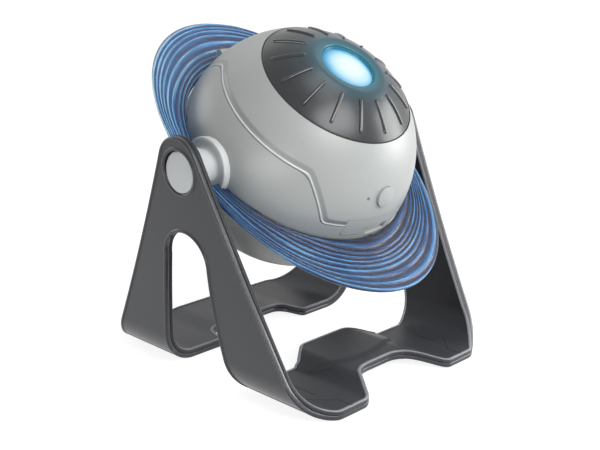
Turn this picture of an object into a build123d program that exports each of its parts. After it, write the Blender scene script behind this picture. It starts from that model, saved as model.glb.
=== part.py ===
from build123d import *
import os
from math import pi, sin, cos, tan, radians, degrees, sqrt, hypot, atan2

os.makedirs("parts", exist_ok=True)

# ---------------------------------------------------------------- driving dimensions, millimetres
FACE_GAP = 0.3             # between faces that move past each other
RUNNING_GAP = 0.05         # radial, round a journal or a pin
SEAT_GAP = 0.05            # between a piece and what it is screwed to

# ball
BALL_RADIUS = 75.0
BALL_WALL = 2.4
BALL_INNER = BALL_RADIUS - BALL_WALL
TILT = 37.5                # degrees that the lens leans forward at rest
SEAM_HEIGHT = 34.7         # cover seam above the ball's equator, at the sides
BIB_HEIGHT = 10.5          # the same under the front and rear bibs of the cover
BIB_TOP_HALF = 49.0
BIB_FOOT_HALF = 38.0
SEAM_GAP = 0.3
SEAM_CORNER = 5.0
SEAM_LIP = 1.6             # wall of the lip inside the seam
LATCH_HALF_WIDTH = 22.5
LATCH_TOP = 15.5
LATCH_FOOT = 3.4
LATCH_SWING = 0.6          # room below the latch's foot for its swing
LATCH_FLARE = 1.4          # the latch is this much wider at its foot, each side
RECESS_LEFT = -10.0        # finger recess in the latch
RECESS_RIGHT = 13.0
RECESS_RISE = 5.6
RECESS_DEPTH = 1.6
DOME_EDGE_RADIUS = 49.6    # dark dome, where it meets the cover
DOME_WALL = 2.2
DOME_SINK = 0.3            # the dome's skin lies this far below the ball's
TURN_GAP = 0.4             # round the dome
RIB_COUNT = 15
RIB_WIDTH = 2.2
RIB_PROUD = 1.0
RIB_INNER = 27.5
RIB_OUTER = 46.0

# oval ring round the ball
RING_SIDE = 12.5           # width beyond the ball along the tilt axis
RING_FRONT = 41.5          # width beyond the ball at the front and rear
RING_THICKNESS = 3.6
RING_SEAT_GAP = 0.2
COLLAR_CLEAR = 0.7         # between the ring's ends and the collars
RING_RIDGES = 6
RIDGE_DEPTH = 0.7
RING_HALF_WIDTH = BALL_RADIUS + RING_SIDE
RING_HALF_LENGTH = BALL_RADIUS + RING_FRONT

# collars, bearings and pivot caps, from the ball outwards along the tilt axis
FLANGE_RADIUS = 18.0
FLANGE_PROUD = 2.0         # flange beyond the ball
NECK_RADIUS = 11.2
NECK_LENGTH = 5.5
DISC_RADIUS = 13.2
DISC_WIDTH = 6.0
JOURNAL_RADIUS = 9.5
JOURNAL_WALL = 3.2
BUSH_WALL = 2.0
BUSH_FLANGE = 1.2
BUSH_FLANGE_RADIUS = 14.0
BOSS_RADIUS = 16.0
BOSS_DEPTH = 1.9           # length of the bush's seat in the arm
CAP_RADIUS = 12.3
CAP_THICKNESS = 3.7
CAP_CLEARANCE = 0.4        # round the cap in the arm
CAP_RECESS = 1.1           # outer face of the cap below the arm's
COLLAR_SCREW_OFFSET = 11.0
COLLAR_PLATE = 2.5
COLLAR_SEAT = BALL_INNER - 1.6
FLANGE_OUT = BALL_RADIUS + FLANGE_PROUD
DISC_IN = FLANGE_OUT + NECK_LENGTH
DISC_OUT = DISC_IN + DISC_WIDTH
BOSS_FACE = DISC_OUT + FACE_GAP + BUSH_FLANGE
SEAT_DEPTH = BOSS_FACE + BOSS_DEPTH
CAP_FACE = SEAT_DEPTH + CAP_THICKNESS
BUSH_RADIUS = JOURNAL_RADIUS + BUSH_WALL
JOURNAL_BORE = JOURNAL_RADIUS - JOURNAL_WALL
CAP_HOLE_RADIUS = CAP_RADIUS + CAP_CLEARANCE

# stand: one bent sheet, floor strips below and two arms that lean outwards
RING_CLEARANCE = 17.7      # ring above the table when it hangs upright
ARM_LEAN = 5.0             # degrees that each arm leans outwards
BEND_RADIUS = 25.0         # outer radius of the bend from floor strip to arm
SHEET_THICKNESS = 6.0      # both skins together
SHELL_THICKNESS = 3.2      # outer skin
SKIN_GAP = 0.1             # between the two skins
PAD_PROUD = 0.6            # the rubber pads stand this far below the shell
STAND_HALF_DEPTH = 96.5    # front and rear ends of the feet
FOOT_CORNER = 0.5          # station on the bend where an arm's flank meets the end of its foot
ARM_TOP_HALF_WIDTH = 20.9  # half width of an arm at the tilt axis
LEG_TAPER = 0.455          # growth of the half width per mm down the arm, at its top
ARM_CROWN_RISE = 3.7       # centre of the arm's round top above the tilt axis
ARCH_RADIUS = 18.5         # round top of the opening in an arm
ARCH_DROP = 56.0           # centre of that round below the tilt axis, along the arm
ARCH_SHIFT = 2.0           # the arch sits this far behind the middle
FRONT_STRIP_REAR = 34.7    # rear edge of the front floor strip
REAR_STRIP_FRONT = 32.0    # front edge of the rear floor strip
BRIDGE_FOOT_X = 38.0       # half width of a bridge where its ramps leave the floor
BRIDGE_TOP_X = 24.0        # half width of a bridge where its ramps end
FRONT_BRIDGE_LIFT = 5.0    # height of the front strip's bridge
REAR_BRIDGE_LIFT = 1.5     # height of the rear strip's bridge
FRONT_NOTCH_DEPTH = 26.0   # bay in the front edge of the front strip
REAR_NOTCH_DEPTH = 18.0    # bay in the front edge of the rear strip
NOTCH_HALF_WIDTH = 37.0    # of both bays, at their mouths
NOTCH_SLANT = 19.0         # each bay's sides close in by this much
TOE_CORNER = 9.0           # round corners of the feet beside the front bay
BAY_CORNER = 16.0          # round corners deep in the front bay
TONGUE_END = 22.0          # rear edge of the tongue on the front strip
TONGUE_HALF_WIDTH = 20.0
TONGUE_RISE = 1.4          # plateau on the tongue above the bridge
RIM_WIDTH = 3.0            # border left proud on the arms' outer faces
RIM_HEIGHT = 0.6
HALO_WIDTH = 2.0           # the same border round each pivot cap
PAD_RADIUS = 7.0
PAD_THICKNESS = 1.6
ARM_FACE_AT_PIVOT = CAP_FACE + CAP_RECESS
PIVOT_HEIGHT = RING_HALF_LENGTH + RING_CLEARANCE

# optics and drive, heights above the ball's equator
LENS_WELL_RADIUS = 17.6
WELL_WALL = 2.2
BARREL_WALL = 1.4
BARREL_CLEARANCE = 0.4     # round the barrel in the dome's well
BARREL_SINK = 4.4          # top of the barrel below the ball's skin
LENS_SINK = 5.7            # crown of the front lens below the ball's skin
LENS_CROWN = 3.3
WELL_LENGTH = 17.0         # the dome's well reaches this far below the ball's skin
BARREL_OVERHANG = 1.5      # barrel below the guide plate
GUIDE_PLATE_DROP = 6.9     # guide plate below the edge of the dome's opening
GUIDE_PLATE = 2.0
GUIDE_RADIUS = 47.0
TRAY_DROP = 3.7            # tray below the cover's seam
TRAY_THICKNESS = 2.5
TRAY_MARGIN = 2.9          # tray inside the ball's wall
TRAY_FRONT = 54.0
STAR_DISC_RADIUS = 27.0
STAR_DISC_THICKNESS = 1.2
GEAR_MODULE = 0.8
CARRIER_TEETH = 80
PINION_TEETH = 12
GEAR_WIDTH = 4.0
GEAR_BACKLASH = 0.25
SCREW_RADIUS = 1.25
SCREW_HEAD_RADIUS = 2.6
SCREW_HEAD = 1.4
EDGE_HEIGHT = sqrt(BALL_RADIUS ** 2 - (DOME_EDGE_RADIUS + TURN_GAP) ** 2)
GUIDE_PLATE_HEIGHT = EDGE_HEIGHT - GUIDE_PLATE_DROP
TRAY_HEIGHT = SEAM_HEIGHT - TRAY_DROP
TRAY_RADIUS = sqrt(BALL_INNER ** 2 - (TRAY_HEIGHT + TRAY_THICKNESS) ** 2) - TRAY_MARGIN
BARREL_RADIUS = LENS_WELL_RADIUS - BARREL_CLEARANCE
BARREL_BORE = BARREL_RADIUS - BARREL_WALL
BARREL_TOP = BALL_RADIUS - BARREL_SINK
BARREL_FOOT = GUIDE_PLATE_HEIGHT - BARREL_OVERHANG
FRONT_LENS_CROWN = BALL_RADIUS - LENS_SINK
FRONT_LENS_EDGE = FRONT_LENS_CROWN - LENS_CROWN
REAR_LENS_FOOT = BARREL_FOOT + 3.0
WELL_FOOT = BALL_RADIUS - WELL_LENGTH

# lamp, batteries and boards
LIGHT_TUBE_RADIUS = 20.0
LED_BOARD_HEIGHT = -6.0
SINK_HEIGHT = 14.0
BATTERY_DOOR_RADIUS = 33.0
DOOR_GAP = 0.3
LEDGE_WIDTH = 2.5
DOOR_TAB = 2.7             # thickness of the tab that takes the door's screw
DOOR_SCREW_Y = 26.0
TONGUE_HALF = 9.0
BATTERY_RADIUS = 7.1
BATTERY_LENGTH = 50.0
BATTERY_PITCH = 14.8
BATTERY_CLEARANCE = 0.5
BOX_WALL = 1.6
BOX_LEG = 13.0
BOARD_THICKNESS = 1.6
LEDGE_EDGE = BATTERY_DOOR_RADIUS - LEDGE_WIDTH
DOOR_TAB_FOOT = 0.2 - sqrt(BALL_INNER ** 2 - (BATTERY_DOOR_RADIUS + DOOR_GAP) ** 2)
BATTERY_HEIGHT = DOOR_TAB_FOOT + DOOR_TAB + BATTERY_CLEARANCE + BATTERY_RADIUS
BOX_TOP = BATTERY_HEIGHT + BATTERY_RADIUS + 0.3
BOARD_HEIGHT = BOX_TOP + BOX_WALL + BOX_LEG
BOARD_SCREW_PLACES = [(x, y) for x in (-28.5, 28.5) for y in (-24.0, 24.0)]

DOOR_SCREW_HEAD = DOOR_TAB_FOOT - 5.7

LEAN = radians(ARM_LEAN)
REACH = BALL_RADIUS + 20   # larger than anything that is cut from the ball


# ---------------------------------------------------------------- helpers
def seat(shape):
    """Put a shape drawn in the ball's own frame (lens axis up) into the resting ball."""
    return Pos(0, 0, PIVOT_HEIGHT) * Rot(TILT, 0, 0) * shape


def tube(outer, inner, low, high):
    return Pos(0, 0, low) * (cylinder(outer, high - low) - cylinder(inner, high - low))


def cylinder(radius, height):
    return Cylinder(radius, height, align=(Align.CENTER, Align.CENTER, Align.MIN))


def x_cylinder(radius, x0, x1, y=0.0, z=0.0):
    """Cylinder along X from x0 to x1."""
    return Pos(min(x0, x1), y, z) * Rot(0, 90, 0) * cylinder(radius, abs(x1 - x0))


def block(x0, x1, y0, y1, z0, z1):
    return Pos(x0, y0, z0) * Box(x1 - x0, y1 - y0, z1 - z0, align=(Align.MIN, Align.MIN, Align.MIN))


def ball(radius):
    return Rot(0, 0, 40) * Sphere(radius)


def slab(points, low, high, radii=None):
    """Prism along Z over a plan outline with rounded corners."""
    return Pos(0, 0, low) * extrude(outline(points, radii), high - low)


def outline(points, radii=None):
    if radii:
        return make_face(FilletPolyline(*points, radius=radii, close=True))
    return make_face(Polyline(*points, close=True))


def both_sides(shape):
    return [shape, mirror(shape, about=Plane.YZ)]


def ring_of(shape, count, start=0.0):
    return [Rot(0, 0, start + 360.0 * i / count) * shape for i in range(count)]


# ---------------------------------------------------------------- the bent sheet of the stand
BEND_TURN = pi / 2 - LEAN
WALL_FOOT = ARM_FACE_AT_PIVOT - (PIVOT_HEIGHT - PAD_PROUD) * tan(LEAN)
BEND_START = WALL_FOOT - BEND_RADIUS * tan(BEND_TURN / 2)
BEND_LENGTH = BEND_RADIUS * BEND_TURN
BEND_END_Z = BEND_RADIUS * (1 - cos(BEND_TURN))
PIVOT_STATION = BEND_LENGTH + (PIVOT_HEIGHT - PAD_PROUD - BEND_END_Z) / cos(LEAN)


def on_sheet(station, depth):
    """X and Z of a point at a distance along the outer skin from the bend's start, at a depth."""
    if station <= 0:
        return BEND_START + station, PAD_PROUD + depth
    turn = min(station / BEND_RADIUS, BEND_TURN)
    radius = BEND_RADIUS - depth
    x = BEND_START + radius * sin(turn)
    z = PAD_PROUD + BEND_RADIUS - radius * cos(turn)
    rest = station - BEND_LENGTH
    if rest > 0:
        x += rest * sin(LEAN)
        z += rest * cos(LEAN)
    return x, z


def skin_path(depth, lift):
    """Cross-section of one face of the sheet, from the left arm's top to the right arm's."""
    top = PIVOT_HEIGHT + 2 * ARM_TOP_HALF_WIDTH
    inset = depth / cos(LEAN)
    slope = atan2(lift, BRIDGE_FOOT_X - BRIDGE_TOP_X)
    shift = depth * tan(slope / 2)
    floor_z = PAD_PROUD + depth
    right = [
        (WALL_FOOT - inset + (top - PAD_PROUD) * tan(LEAN), top),
        (WALL_FOOT - inset + depth * tan(LEAN), floor_z),
        (BRIDGE_FOOT_X + shift, floor_z),
        (BRIDGE_TOP_X + shift, floor_z + lift),
    ]
    radii = [BEND_RADIUS - depth, 18.0 - depth, 12.0 + depth]
    points = [(-x, 0, z) for x, z in right] + [(x, 0, z) for x, z in reversed(right)]
    return FilletPolyline(*points, radius=radii + radii[::-1])


def sheet(depth0, depth1, lift, y0, y1):
    """The whole bent sheet between two depths, as long as y0 to y1."""
    low = skin_path(depth0, lift)
    high = skin_path(depth1, lift)
    ends = [Line(low @ 0, high @ 0), Line(low @ 1, high @ 1)]
    face = make_face([low, high, *ends])
    return Pos(0, y0, 0) * extrude(face, y1 - y0, dir=(0, 1, 0))


def ribbon(low_edge, high_edge, start, end, depth0, depth1, steps):
    """Solid that follows the right-hand bend and arm between two edges, square to the sheet."""
    wires = []
    for i in range(steps + 1):
        s = start + (end - start) * i / steps
        (xa, za), (xb, zb) = on_sheet(s, depth0), on_sheet(s, depth1)
        y0, y1 = low_edge(s), high_edge(s)
        wires.append(Wire.make_polygon([(xa, y0, za), (xa, y1, za), (xb, y1, zb), (xb, y0, zb)], close=True))
    return Solid.make_loft(wires)


LEG_LENGTH = PIVOT_STATION - FOOT_CORNER
LEG_FLARE = (STAND_HALF_DEPTH - ARM_TOP_HALF_WIDTH - LEG_TAPER * LEG_LENGTH) / LEG_LENGTH ** 2


def leg_edge(s):
    """Half width of an arm at a distance along the sheet."""
    down = PIVOT_STATION - s
    return ARM_TOP_HALF_WIDTH + LEG_TAPER * down + LEG_FLARE * down * down


ARCH_STATION = PIVOT_STATION - ARCH_DROP


def arch_front(s):
    share = max(ARCH_STATION - s, 0) / ARCH_STATION
    return -(ARCH_RADIUS - ARCH_SHIFT) - (FRONT_STRIP_REAR - ARCH_RADIUS + ARCH_SHIFT) * share ** 1.7


def arch_rear(s):
    share = max(ARCH_STATION - s, 0) / ARCH_STATION
    straight = REAR_STRIP_FRONT - ARCH_RADIUS - ARCH_SHIFT
    return ARCH_RADIUS + ARCH_SHIFT + straight * (1.5 * share - 0.5 * share ** 2)


def wall_cylinder(radius, station, y, depth0, depth1):
    """Cylinder square to the right arm."""
    x0, z0 = on_sheet(station, depth0)
    x1, z1 = on_sheet(station, depth1)
    plane = Plane(origin=(x0, y, z0), z_dir=(x1 - x0, 0, z1 - z0))
    return plane * cylinder(radius, depth1 - depth0)


CROWN_HEIGHT = PIVOT_HEIGHT + ARM_CROWN_RISE
CROWN_TURN = atan2(LEG_TAPER, 1)
CROWN_RADIUS = (ARM_TOP_HALF_WIDTH - LEG_TAPER * ARM_CROWN_RISE) * cos(CROWN_TURN)


def above_crown(radius, x0, half_width):
    """All that lies outside the round top of the right arm."""
    tangent_z = CROWN_HEIGHT + radius * sin(CROWN_TURN)
    over = block(x0, 2 * REACH, -half_width, half_width, tangent_z, CROWN_HEIGHT + 60)
    return over - x_cylinder(radius, x0 - 1, 2 * REACH + 1, 0, CROWN_HEIGHT)


def stand_trim(depth0, depth1):
    """What is cut from the sheet: round arm tops, the flanks of the legs and the arches."""
    d0, d1 = depth0 - 2, depth1 + 2
    far = STAND_HALF_DEPTH + 20
    top_station = PIVOT_STATION + 30
    front = ribbon(lambda s: -far, lambda s: -leg_edge(s), -4, top_station, d0, d1, 16)
    rear = ribbon(lambda s: leg_edge(s), lambda s: far, -4, top_station, d0, d1, 16)
    arch = ribbon(arch_front, arch_rear, -BEND_START / 4, ARCH_STATION, d0, d1, 12)
    arch_top = wall_cylinder(ARCH_RADIUS, ARCH_STATION, ARCH_SHIFT, d0, d1)
    crown = above_crown(CROWN_RADIUS, BALL_RADIUS - 25, far)
    tools = []
    for tool in (front, rear, arch, arch_top, crown):
        tools += both_sides(tool)
    return tools


def floor_gap():
    """Plan of the space between the two floor strips, with the tongue standing into it."""
    edge = BEND_START + 0.5
    front, rear = -FRONT_STRIP_REAR, REAR_STRIP_FRONT
    base = BRIDGE_FOOT_X - 2
    mouth = NOTCH_HALF_WIDTH + 1
    floor_y = rear + REAR_NOTCH_DEPTH
    points = [
        (-edge, front), (-base, front), (-TONGUE_HALF_WIDTH, -TONGUE_END), (TONGUE_HALF_WIDTH, -TONGUE_END),
        (base, front), (edge, front), (edge, rear), (mouth, rear), (mouth - 5, floor_y),
        (-mouth + 5, floor_y), (-mouth, rear), (-edge, rear),
    ]
    radii = [0.05, 9, 9, 9, 9, 0.05, 0.05, 4, 8, 8, 4, 0.05]
    return slab(points, -2, 30, radii)


def front_notch():
    """Bay in the front edge of the front strip."""
    y0, y1 = -STAND_HALF_DEPTH, -STAND_HALF_DEPTH + FRONT_NOTCH_DEPTH
    mouth, bay, outer = NOTCH_HALF_WIDTH, NOTCH_HALF_WIDTH - NOTCH_SLANT, BEND_START + 2 * BEND_RADIUS
    points = [
        (-outer, y0 - 12), (outer, y0 - 12), (outer, y0), (mouth, y0),
        (bay, y1), (-bay, y1), (-mouth, y0), (-outer, y0),
    ]
    radii = [0.05, 0.05, 0.05, TOE_CORNER, BAY_CORNER, BAY_CORNER, TOE_CORNER, 0.05]
    return slab(points, -2, 2 * BEND_RADIUS, radii)


PAD_X = BEND_START - PAD_RADIUS - 2.3
FRONT_PAD_Y = -(FRONT_STRIP_REAR + PAD_RADIUS + 6)
REAR_PAD_Y = REAR_STRIP_FRONT + PAD_RADIUS + 9
END_PAD_Y = STAND_HALF_DEPTH - PAD_RADIUS - 10
FOOT_PLACES = [(x, y) for x in (-PAD_X, PAD_X) for y in (-END_PAD_Y, FRONT_PAD_Y, REAR_PAD_Y, END_PAD_Y)]
FRONT_SCREW_Y = (FRONT_PAD_Y - END_PAD_Y) / 2
REAR_SCREW_Y = (REAR_PAD_Y + END_PAD_Y) / 2
SCREW_PLACES = [(x, y) for x in (-PAD_X, PAD_X) for y in (FRONT_SCREW_Y, REAR_SCREW_Y)]


def screw_along_z(x, y, head_z, length, head_up=False):
    """Pan-head screw: its head starts at head_z and its shank runs on the other way."""
    head = Pos(x, y, head_z) * cylinder(SCREW_HEAD_RADIUS, SCREW_HEAD)
    if head_up:
        return head + Pos(x, y, head_z - length) * cylinder(SCREW_RADIUS, length + 0.2)
    return head + Pos(x, y, head_z + 1.2) * cylinder(SCREW_RADIUS, length)


def stand_skin(depth0, depth1):
    front = sheet(depth0, depth1, FRONT_BRIDGE_LIFT, -STAND_HALF_DEPTH - 6, 0)
    rear = sheet(depth0, depth1, REAR_BRIDGE_LIFT, 0, STAND_HALF_DEPTH)
    skin = front + rear
    for tool in stand_trim(depth0, depth1) + [floor_gap(), front_notch()]:
        skin -= tool
    return skin


def arm_panel():
    """The field of the right arm's outer face that lies below its border."""
    low, top = 3.0, PIVOT_STATION + ARM_TOP_HALF_WIDTH + ARM_CROWN_RISE
    d0, d1 = -2.0, RIM_HEIGHT
    field = ribbon(lambda s: RIM_WIDTH - leg_edge(s), lambda s: leg_edge(s) - RIM_WIDTH, low, top, d0, d1, 18)
    arch_sides = ribbon(lambda s: arch_front(s) - RIM_WIDTH, lambda s: arch_rear(s) + RIM_WIDTH,
                        low - 2, ARCH_STATION, d0 - 1, d1 + 1, 12)
    field -= arch_sides + wall_cylinder(ARCH_RADIUS + RIM_WIDTH, ARCH_STATION, ARCH_SHIFT, d0 - 1, d1 + 1)
    field -= above_crown(CROWN_RADIUS - RIM_WIDTH * cos(CROWN_TURN), BALL_RADIUS - 25, 60)
    return field - x_cylinder(CAP_HOLE_RADIUS + HALO_WIDTH, 40, 2 * REACH, 0, PIVOT_HEIGHT)


def make_stand_shell():
    shell = stand_skin(0, SHELL_THICKNESS)
    for side in both_sides(x_cylinder(CAP_HOLE_RADIUS, SEAT_DEPTH - 6, 2 * REACH, 0, PIVOT_HEIGHT)):
        shell -= side
    for side in both_sides(arm_panel()):
        shell -= side
    for x, y in FOOT_PLACES:
        shell -= Pos(x, y, 0) * cylinder(PAD_RADIUS + 0.1, PAD_THICKNESS)
    for x, y in SCREW_PLACES:
        shell -= Pos(x, y, 0) * cylinder(SCREW_HEAD_RADIUS + 0.2, PAD_PROUD + SCREW_HEAD + 0.3)
        shell -= Pos(x, y, 0) * cylinder(SCREW_RADIUS + 0.1, 10)
    return shell


def make_stand_liner():
    liner = stand_skin(SHELL_THICKNESS + SKIN_GAP, SHEET_THICKNESS)
    boss = x_cylinder(BOSS_RADIUS, BOSS_FACE, SEAT_DEPTH, 0, PIVOT_HEIGHT)
    seat_hole = x_cylinder(CAP_HOLE_RADIUS, SEAT_DEPTH, 2 * REACH, 0, PIVOT_HEIGHT)
    bore = x_cylinder(BUSH_RADIUS + SEAT_GAP, BALL_RADIUS - 15, 2 * REACH, 0, PIVOT_HEIGHT)
    spot_face = x_cylinder(BOSS_RADIUS, BALL_RADIUS - 5, BOSS_FACE, 0, PIVOT_HEIGHT)
    for side in both_sides(boss):
        liner += side
    for side in both_sides(spot_face):
        liner -= side
    for tool in both_sides(seat_hole) + both_sides(bore):
        liner -= tool
    for x, y in SCREW_PLACES:
        liner -= Pos(x, y, 0) * cylinder(SCREW_RADIUS + 0.05, PAD_PROUD + SHEET_THICKNESS - 0.8)
    return liner + tongue_plateau()


def tongue_plateau():
    """Raised top of the tongue, which slopes down to the bridge at its front."""
    z = PAD_PROUD + SHEET_THICKNESS + FRONT_BRIDGE_LIFT
    half = TONGUE_HALF_WIDTH - 2
    front = -(TONGUE_END + 28)
    side = make_face(Polyline(
        (0, front, z - 0.4), (0, -TONGUE_END - 1.5, z - 0.4), (0, -TONGUE_END - 1.5, z + TONGUE_RISE),
        (0, front + 5, z + TONGUE_RISE * 0.5), close=True))
    ramp = Pos(-half, 0, 0) * extrude(side, 2 * half, dir=(1, 0, 0))
    plan = slab([(-half, front), (half, front), (half, -TONGUE_END - 1.5), (-half, -TONGUE_END - 1.5)],
                z - 1, z + 10, [5, 5, 7, 7])
    return ramp & plan


def make_foot_pads():
    return [Pos(x, y, 0) * cylinder(PAD_RADIUS, PAD_THICKNESS) for x, y in FOOT_PLACES]


def make_stand_screws():
    return [screw_along_z(x, y, PAD_PROUD + 0.3, SHEET_THICKNESS - 2.6) for x, y in SCREW_PLACES]


def make_bush():
    """Flanged bush in the right arm; the collar's journal turns in it."""
    bush = x_cylinder(BUSH_RADIUS, BOSS_FACE - BUSH_FLANGE, SEAT_DEPTH, 0, PIVOT_HEIGHT)
    bush += x_cylinder(BUSH_FLANGE_RADIUS, BOSS_FACE - BUSH_FLANGE, BOSS_FACE, 0, PIVOT_HEIGHT)
    return bush - x_cylinder(JOURNAL_RADIUS + RUNNING_GAP, BALL_RADIUS, 2 * REACH, 0, PIVOT_HEIGHT)


# ---------------------------------------------------------------- ball housing
def cover_region(grow):
    """All that lies above the cover's seam; grow moves the seam down and outwards."""
    seam, bib = SEAM_HEIGHT - grow, BIB_HEIGHT - grow
    top_half, foot_half = BIB_TOP_HALF + grow, BIB_FOOT_HALF + grow
    points = [(-REACH, 0, seam), (-top_half, 0, seam), (-foot_half, 0, bib), (foot_half, 0, bib),
              (top_half, 0, seam), (REACH, 0, seam), (REACH, 0, REACH), (-REACH, 0, REACH)]
    corners = [0.05, SEAM_CORNER, SEAM_CORNER, SEAM_CORNER, SEAM_CORNER, 0.05, 0.05, 0.05]
    wire = FilletPolyline(*points, radius=corners, close=True)
    return Pos(0, -REACH, 0) * extrude(make_face(wire), 2 * REACH, dir=(0, 1, 0))


def latch_region(grow, foot):
    """The latch's window in the front of the ball, with sides that lean apart downwards."""
    top = LATCH_TOP + grow
    half = LATCH_HALF_WIDTH + grow
    flare = half + LATCH_FLARE
    face = make_face(Polyline((-half, 0, top), (half, 0, top), (flare, 0, foot), (-flare, 0, foot), close=True))
    return Pos(0, -BALL_RADIUS - 5, 0) * extrude(face, 30, dir=(0, 1, 0))


HINGE_Y = BALL_RADIUS + 2.4
HINGE_H = BIB_HEIGHT + 0.2
KNUCKLE_RADIUS = 3.0
HINGE_PIN_RADIUS = 1.25
KNUCKLE_HALF = 9.0


def seam_band(below, above):
    """Slab between two distances below the side seam."""
    return block(-REACH, REACH, -REACH, REACH, SEAM_HEIGHT - below, SEAM_HEIGHT - above)


def knuckle(x0, x1, drop):
    """Hinge knuckle with a web down (or up) to the wall of the ball."""
    body = x_cylinder(KNUCKLE_RADIUS, x0, x1, HINGE_Y, HINGE_H)
    if drop:
        web = block(x0, x1, BALL_INNER - 2, HINGE_Y, HINGE_H - KNUCKLE_RADIUS, HINGE_H - 1.2)
    else:
        web = block(x0, x1, BALL_INNER - 2, HINGE_Y, HINGE_H + 1.2, HINGE_H + KNUCKLE_RADIUS)
    web -= ball(BALL_INNER + 0.4)
    return body + web


LATCH_PIN_Y = -(BALL_INNER - 2.6)
LATCH_PIN_H = LATCH_FOOT + 1.6
LATCH_PIN_RADIUS = 1.0
LATCH_EAR = LATCH_HALF_WIDTH - 5.0
RING_TAB_ANGLES = (30.0, 90.0, 150.0)
RING_TAB_WIDTH = 8.0
RING_TAB_THICKNESS = 2.0


def make_lower_housing():
    shell = ball(BALL_RADIUS) - ball(BALL_INNER)
    shell -= cover_region(SEAM_GAP)
    shell -= latch_region(SEAM_GAP, LATCH_FOOT - SEAM_GAP)
    # lip inside the seam that centres the cover
    lip_face = ball(BALL_INNER - 0.2)
    lip_back = ball(BALL_INNER - 0.2 - SEAM_LIP)
    lip = (lip_face - lip_back) & seam_band(9.0, -2.0)
    root = (ball(BALL_INNER + 0.3) - lip_back) & seam_band(9.0, 5.0)
    middle = block(-BIB_TOP_HALF - 4, BIB_TOP_HALF + 4, -REACH, REACH, 0, REACH)
    shell += (lip + root) - middle
    # seats for the two collars
    for side in both_sides(x_cylinder(FLANGE_RADIUS + 0.2, COLLAR_SEAT, 2 * REACH)):
        shell -= side
    plate = x_cylinder(FLANGE_RADIUS + 2, COLLAR_SEAT - COLLAR_PLATE, COLLAR_SEAT) & ball(BALL_INNER + 0.5)
    for side in both_sides(plate):
        shell += side
    for y in (-COLLAR_SCREW_OFFSET, COLLAR_SCREW_OFFSET):
        for side in both_sides(x_cylinder(SCREW_RADIUS + 0.1, COLLAR_SEAT - 6, COLLAR_SEAT + 2, y)):
            shell -= side
    # slots for the ring's tabs
    for tab in ring_tabs(0.15):
        shell -= tab
    # hinge knuckles at the rear
    for side in both_sides(knuckle(KNUCKLE_HALF + FACE_GAP, KNUCKLE_HALF + 7, True)):
        shell += side
    clear = KNUCKLE_HALF + FACE_GAP
    shell -= block(-clear, clear, BALL_INNER - 3, REACH, HINGE_H - KNUCKLE_RADIUS - 0.4, SEAM_HEIGHT)
    shell -= x_cylinder(HINGE_PIN_RADIUS + 0.02, -KNUCKLE_HALF - 8, KNUCKLE_HALF + 8, HINGE_Y, HINGE_H)
    # ears for the latch pin
    for sign in (-1, 1):
        x0, x1 = sorted((sign * LATCH_EAR, sign * (LATCH_EAR + 2.0)))
        ear = block(x0, x1, -BALL_RADIUS, LATCH_PIN_Y + 2.4, -6, LATCH_PIN_H + 2.2)
        foot = block(x0, x1, -BALL_RADIUS, LATCH_PIN_Y + 2.4, -6, LATCH_FOOT - 1.6)
        shell += (ear & ball(BALL_INNER - 0.6)) + (foot & ball(BALL_INNER + 0.5))
    shell -= x_cylinder(LATCH_PIN_RADIUS + 0.02, -LATCH_HALF_WIDTH, LATCH_HALF_WIDTH, LATCH_PIN_Y, LATCH_PIN_H)
    # battery door opening, with a ledge inside
    ledge = ball(BALL_INNER + 0.3) - ball(BALL_INNER - 1.6)
    shell += ledge & tube(BATTERY_DOOR_RADIUS + 4, LEDGE_EDGE, -REACH, -40)
    tab = block(-5, 5, DOOR_SCREW_Y - 5, DOOR_SCREW_Y + 10, DOOR_TAB_FOOT, DOOR_TAB_FOOT + DOOR_TAB)
    shell += tab & ball(BALL_INNER + 0.3)
    shell -= (Pos(0, 0, -REACH) * cylinder(BATTERY_DOOR_RADIUS + DOOR_GAP, REACH - 40)) - ball(BALL_INNER - 0.1)
    shell -= Pos(0, DOOR_SCREW_Y, DOOR_TAB_FOOT - 6) * cylinder(SCREW_RADIUS + 0.05, 15)
    # posts for the tray and the main board
    for post in tray_posts() + board_posts():
        shell += post
    return shell


TRAY_POST_RADIUS = 3.2
TRAY_POST_CIRCLE = TRAY_RADIUS - 5.5
TRAY_POST_START = 45.0


def tray_posts():
    post = Pos(TRAY_POST_CIRCLE, 0, -8) * cylinder(TRAY_POST_RADIUS, TRAY_HEIGHT + 8)
    web = block(TRAY_POST_CIRCLE, BALL_RADIUS, -1.0, 1.0, -8, TRAY_HEIGHT - 4)
    post = (post + web) & ball(BALL_INNER + 0.5)
    hole = Pos(TRAY_POST_CIRCLE, 0, TRAY_HEIGHT - 9) * cylinder(SCREW_RADIUS + 0.05, 12)
    return ring_of(post - hole, 4, TRAY_POST_START)


def board_posts():
    posts = []
    for x, y in BOARD_SCREW_PLACES:
        post = (Pos(x, y, -REACH) * cylinder(3.0, REACH + BOARD_HEIGHT)) & ball(BALL_INNER + 0.5)
        posts.append(post - Pos(x, y, BOARD_HEIGHT - 6) * cylinder(SCREW_RADIUS + 0.05, 8))
    return posts


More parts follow.
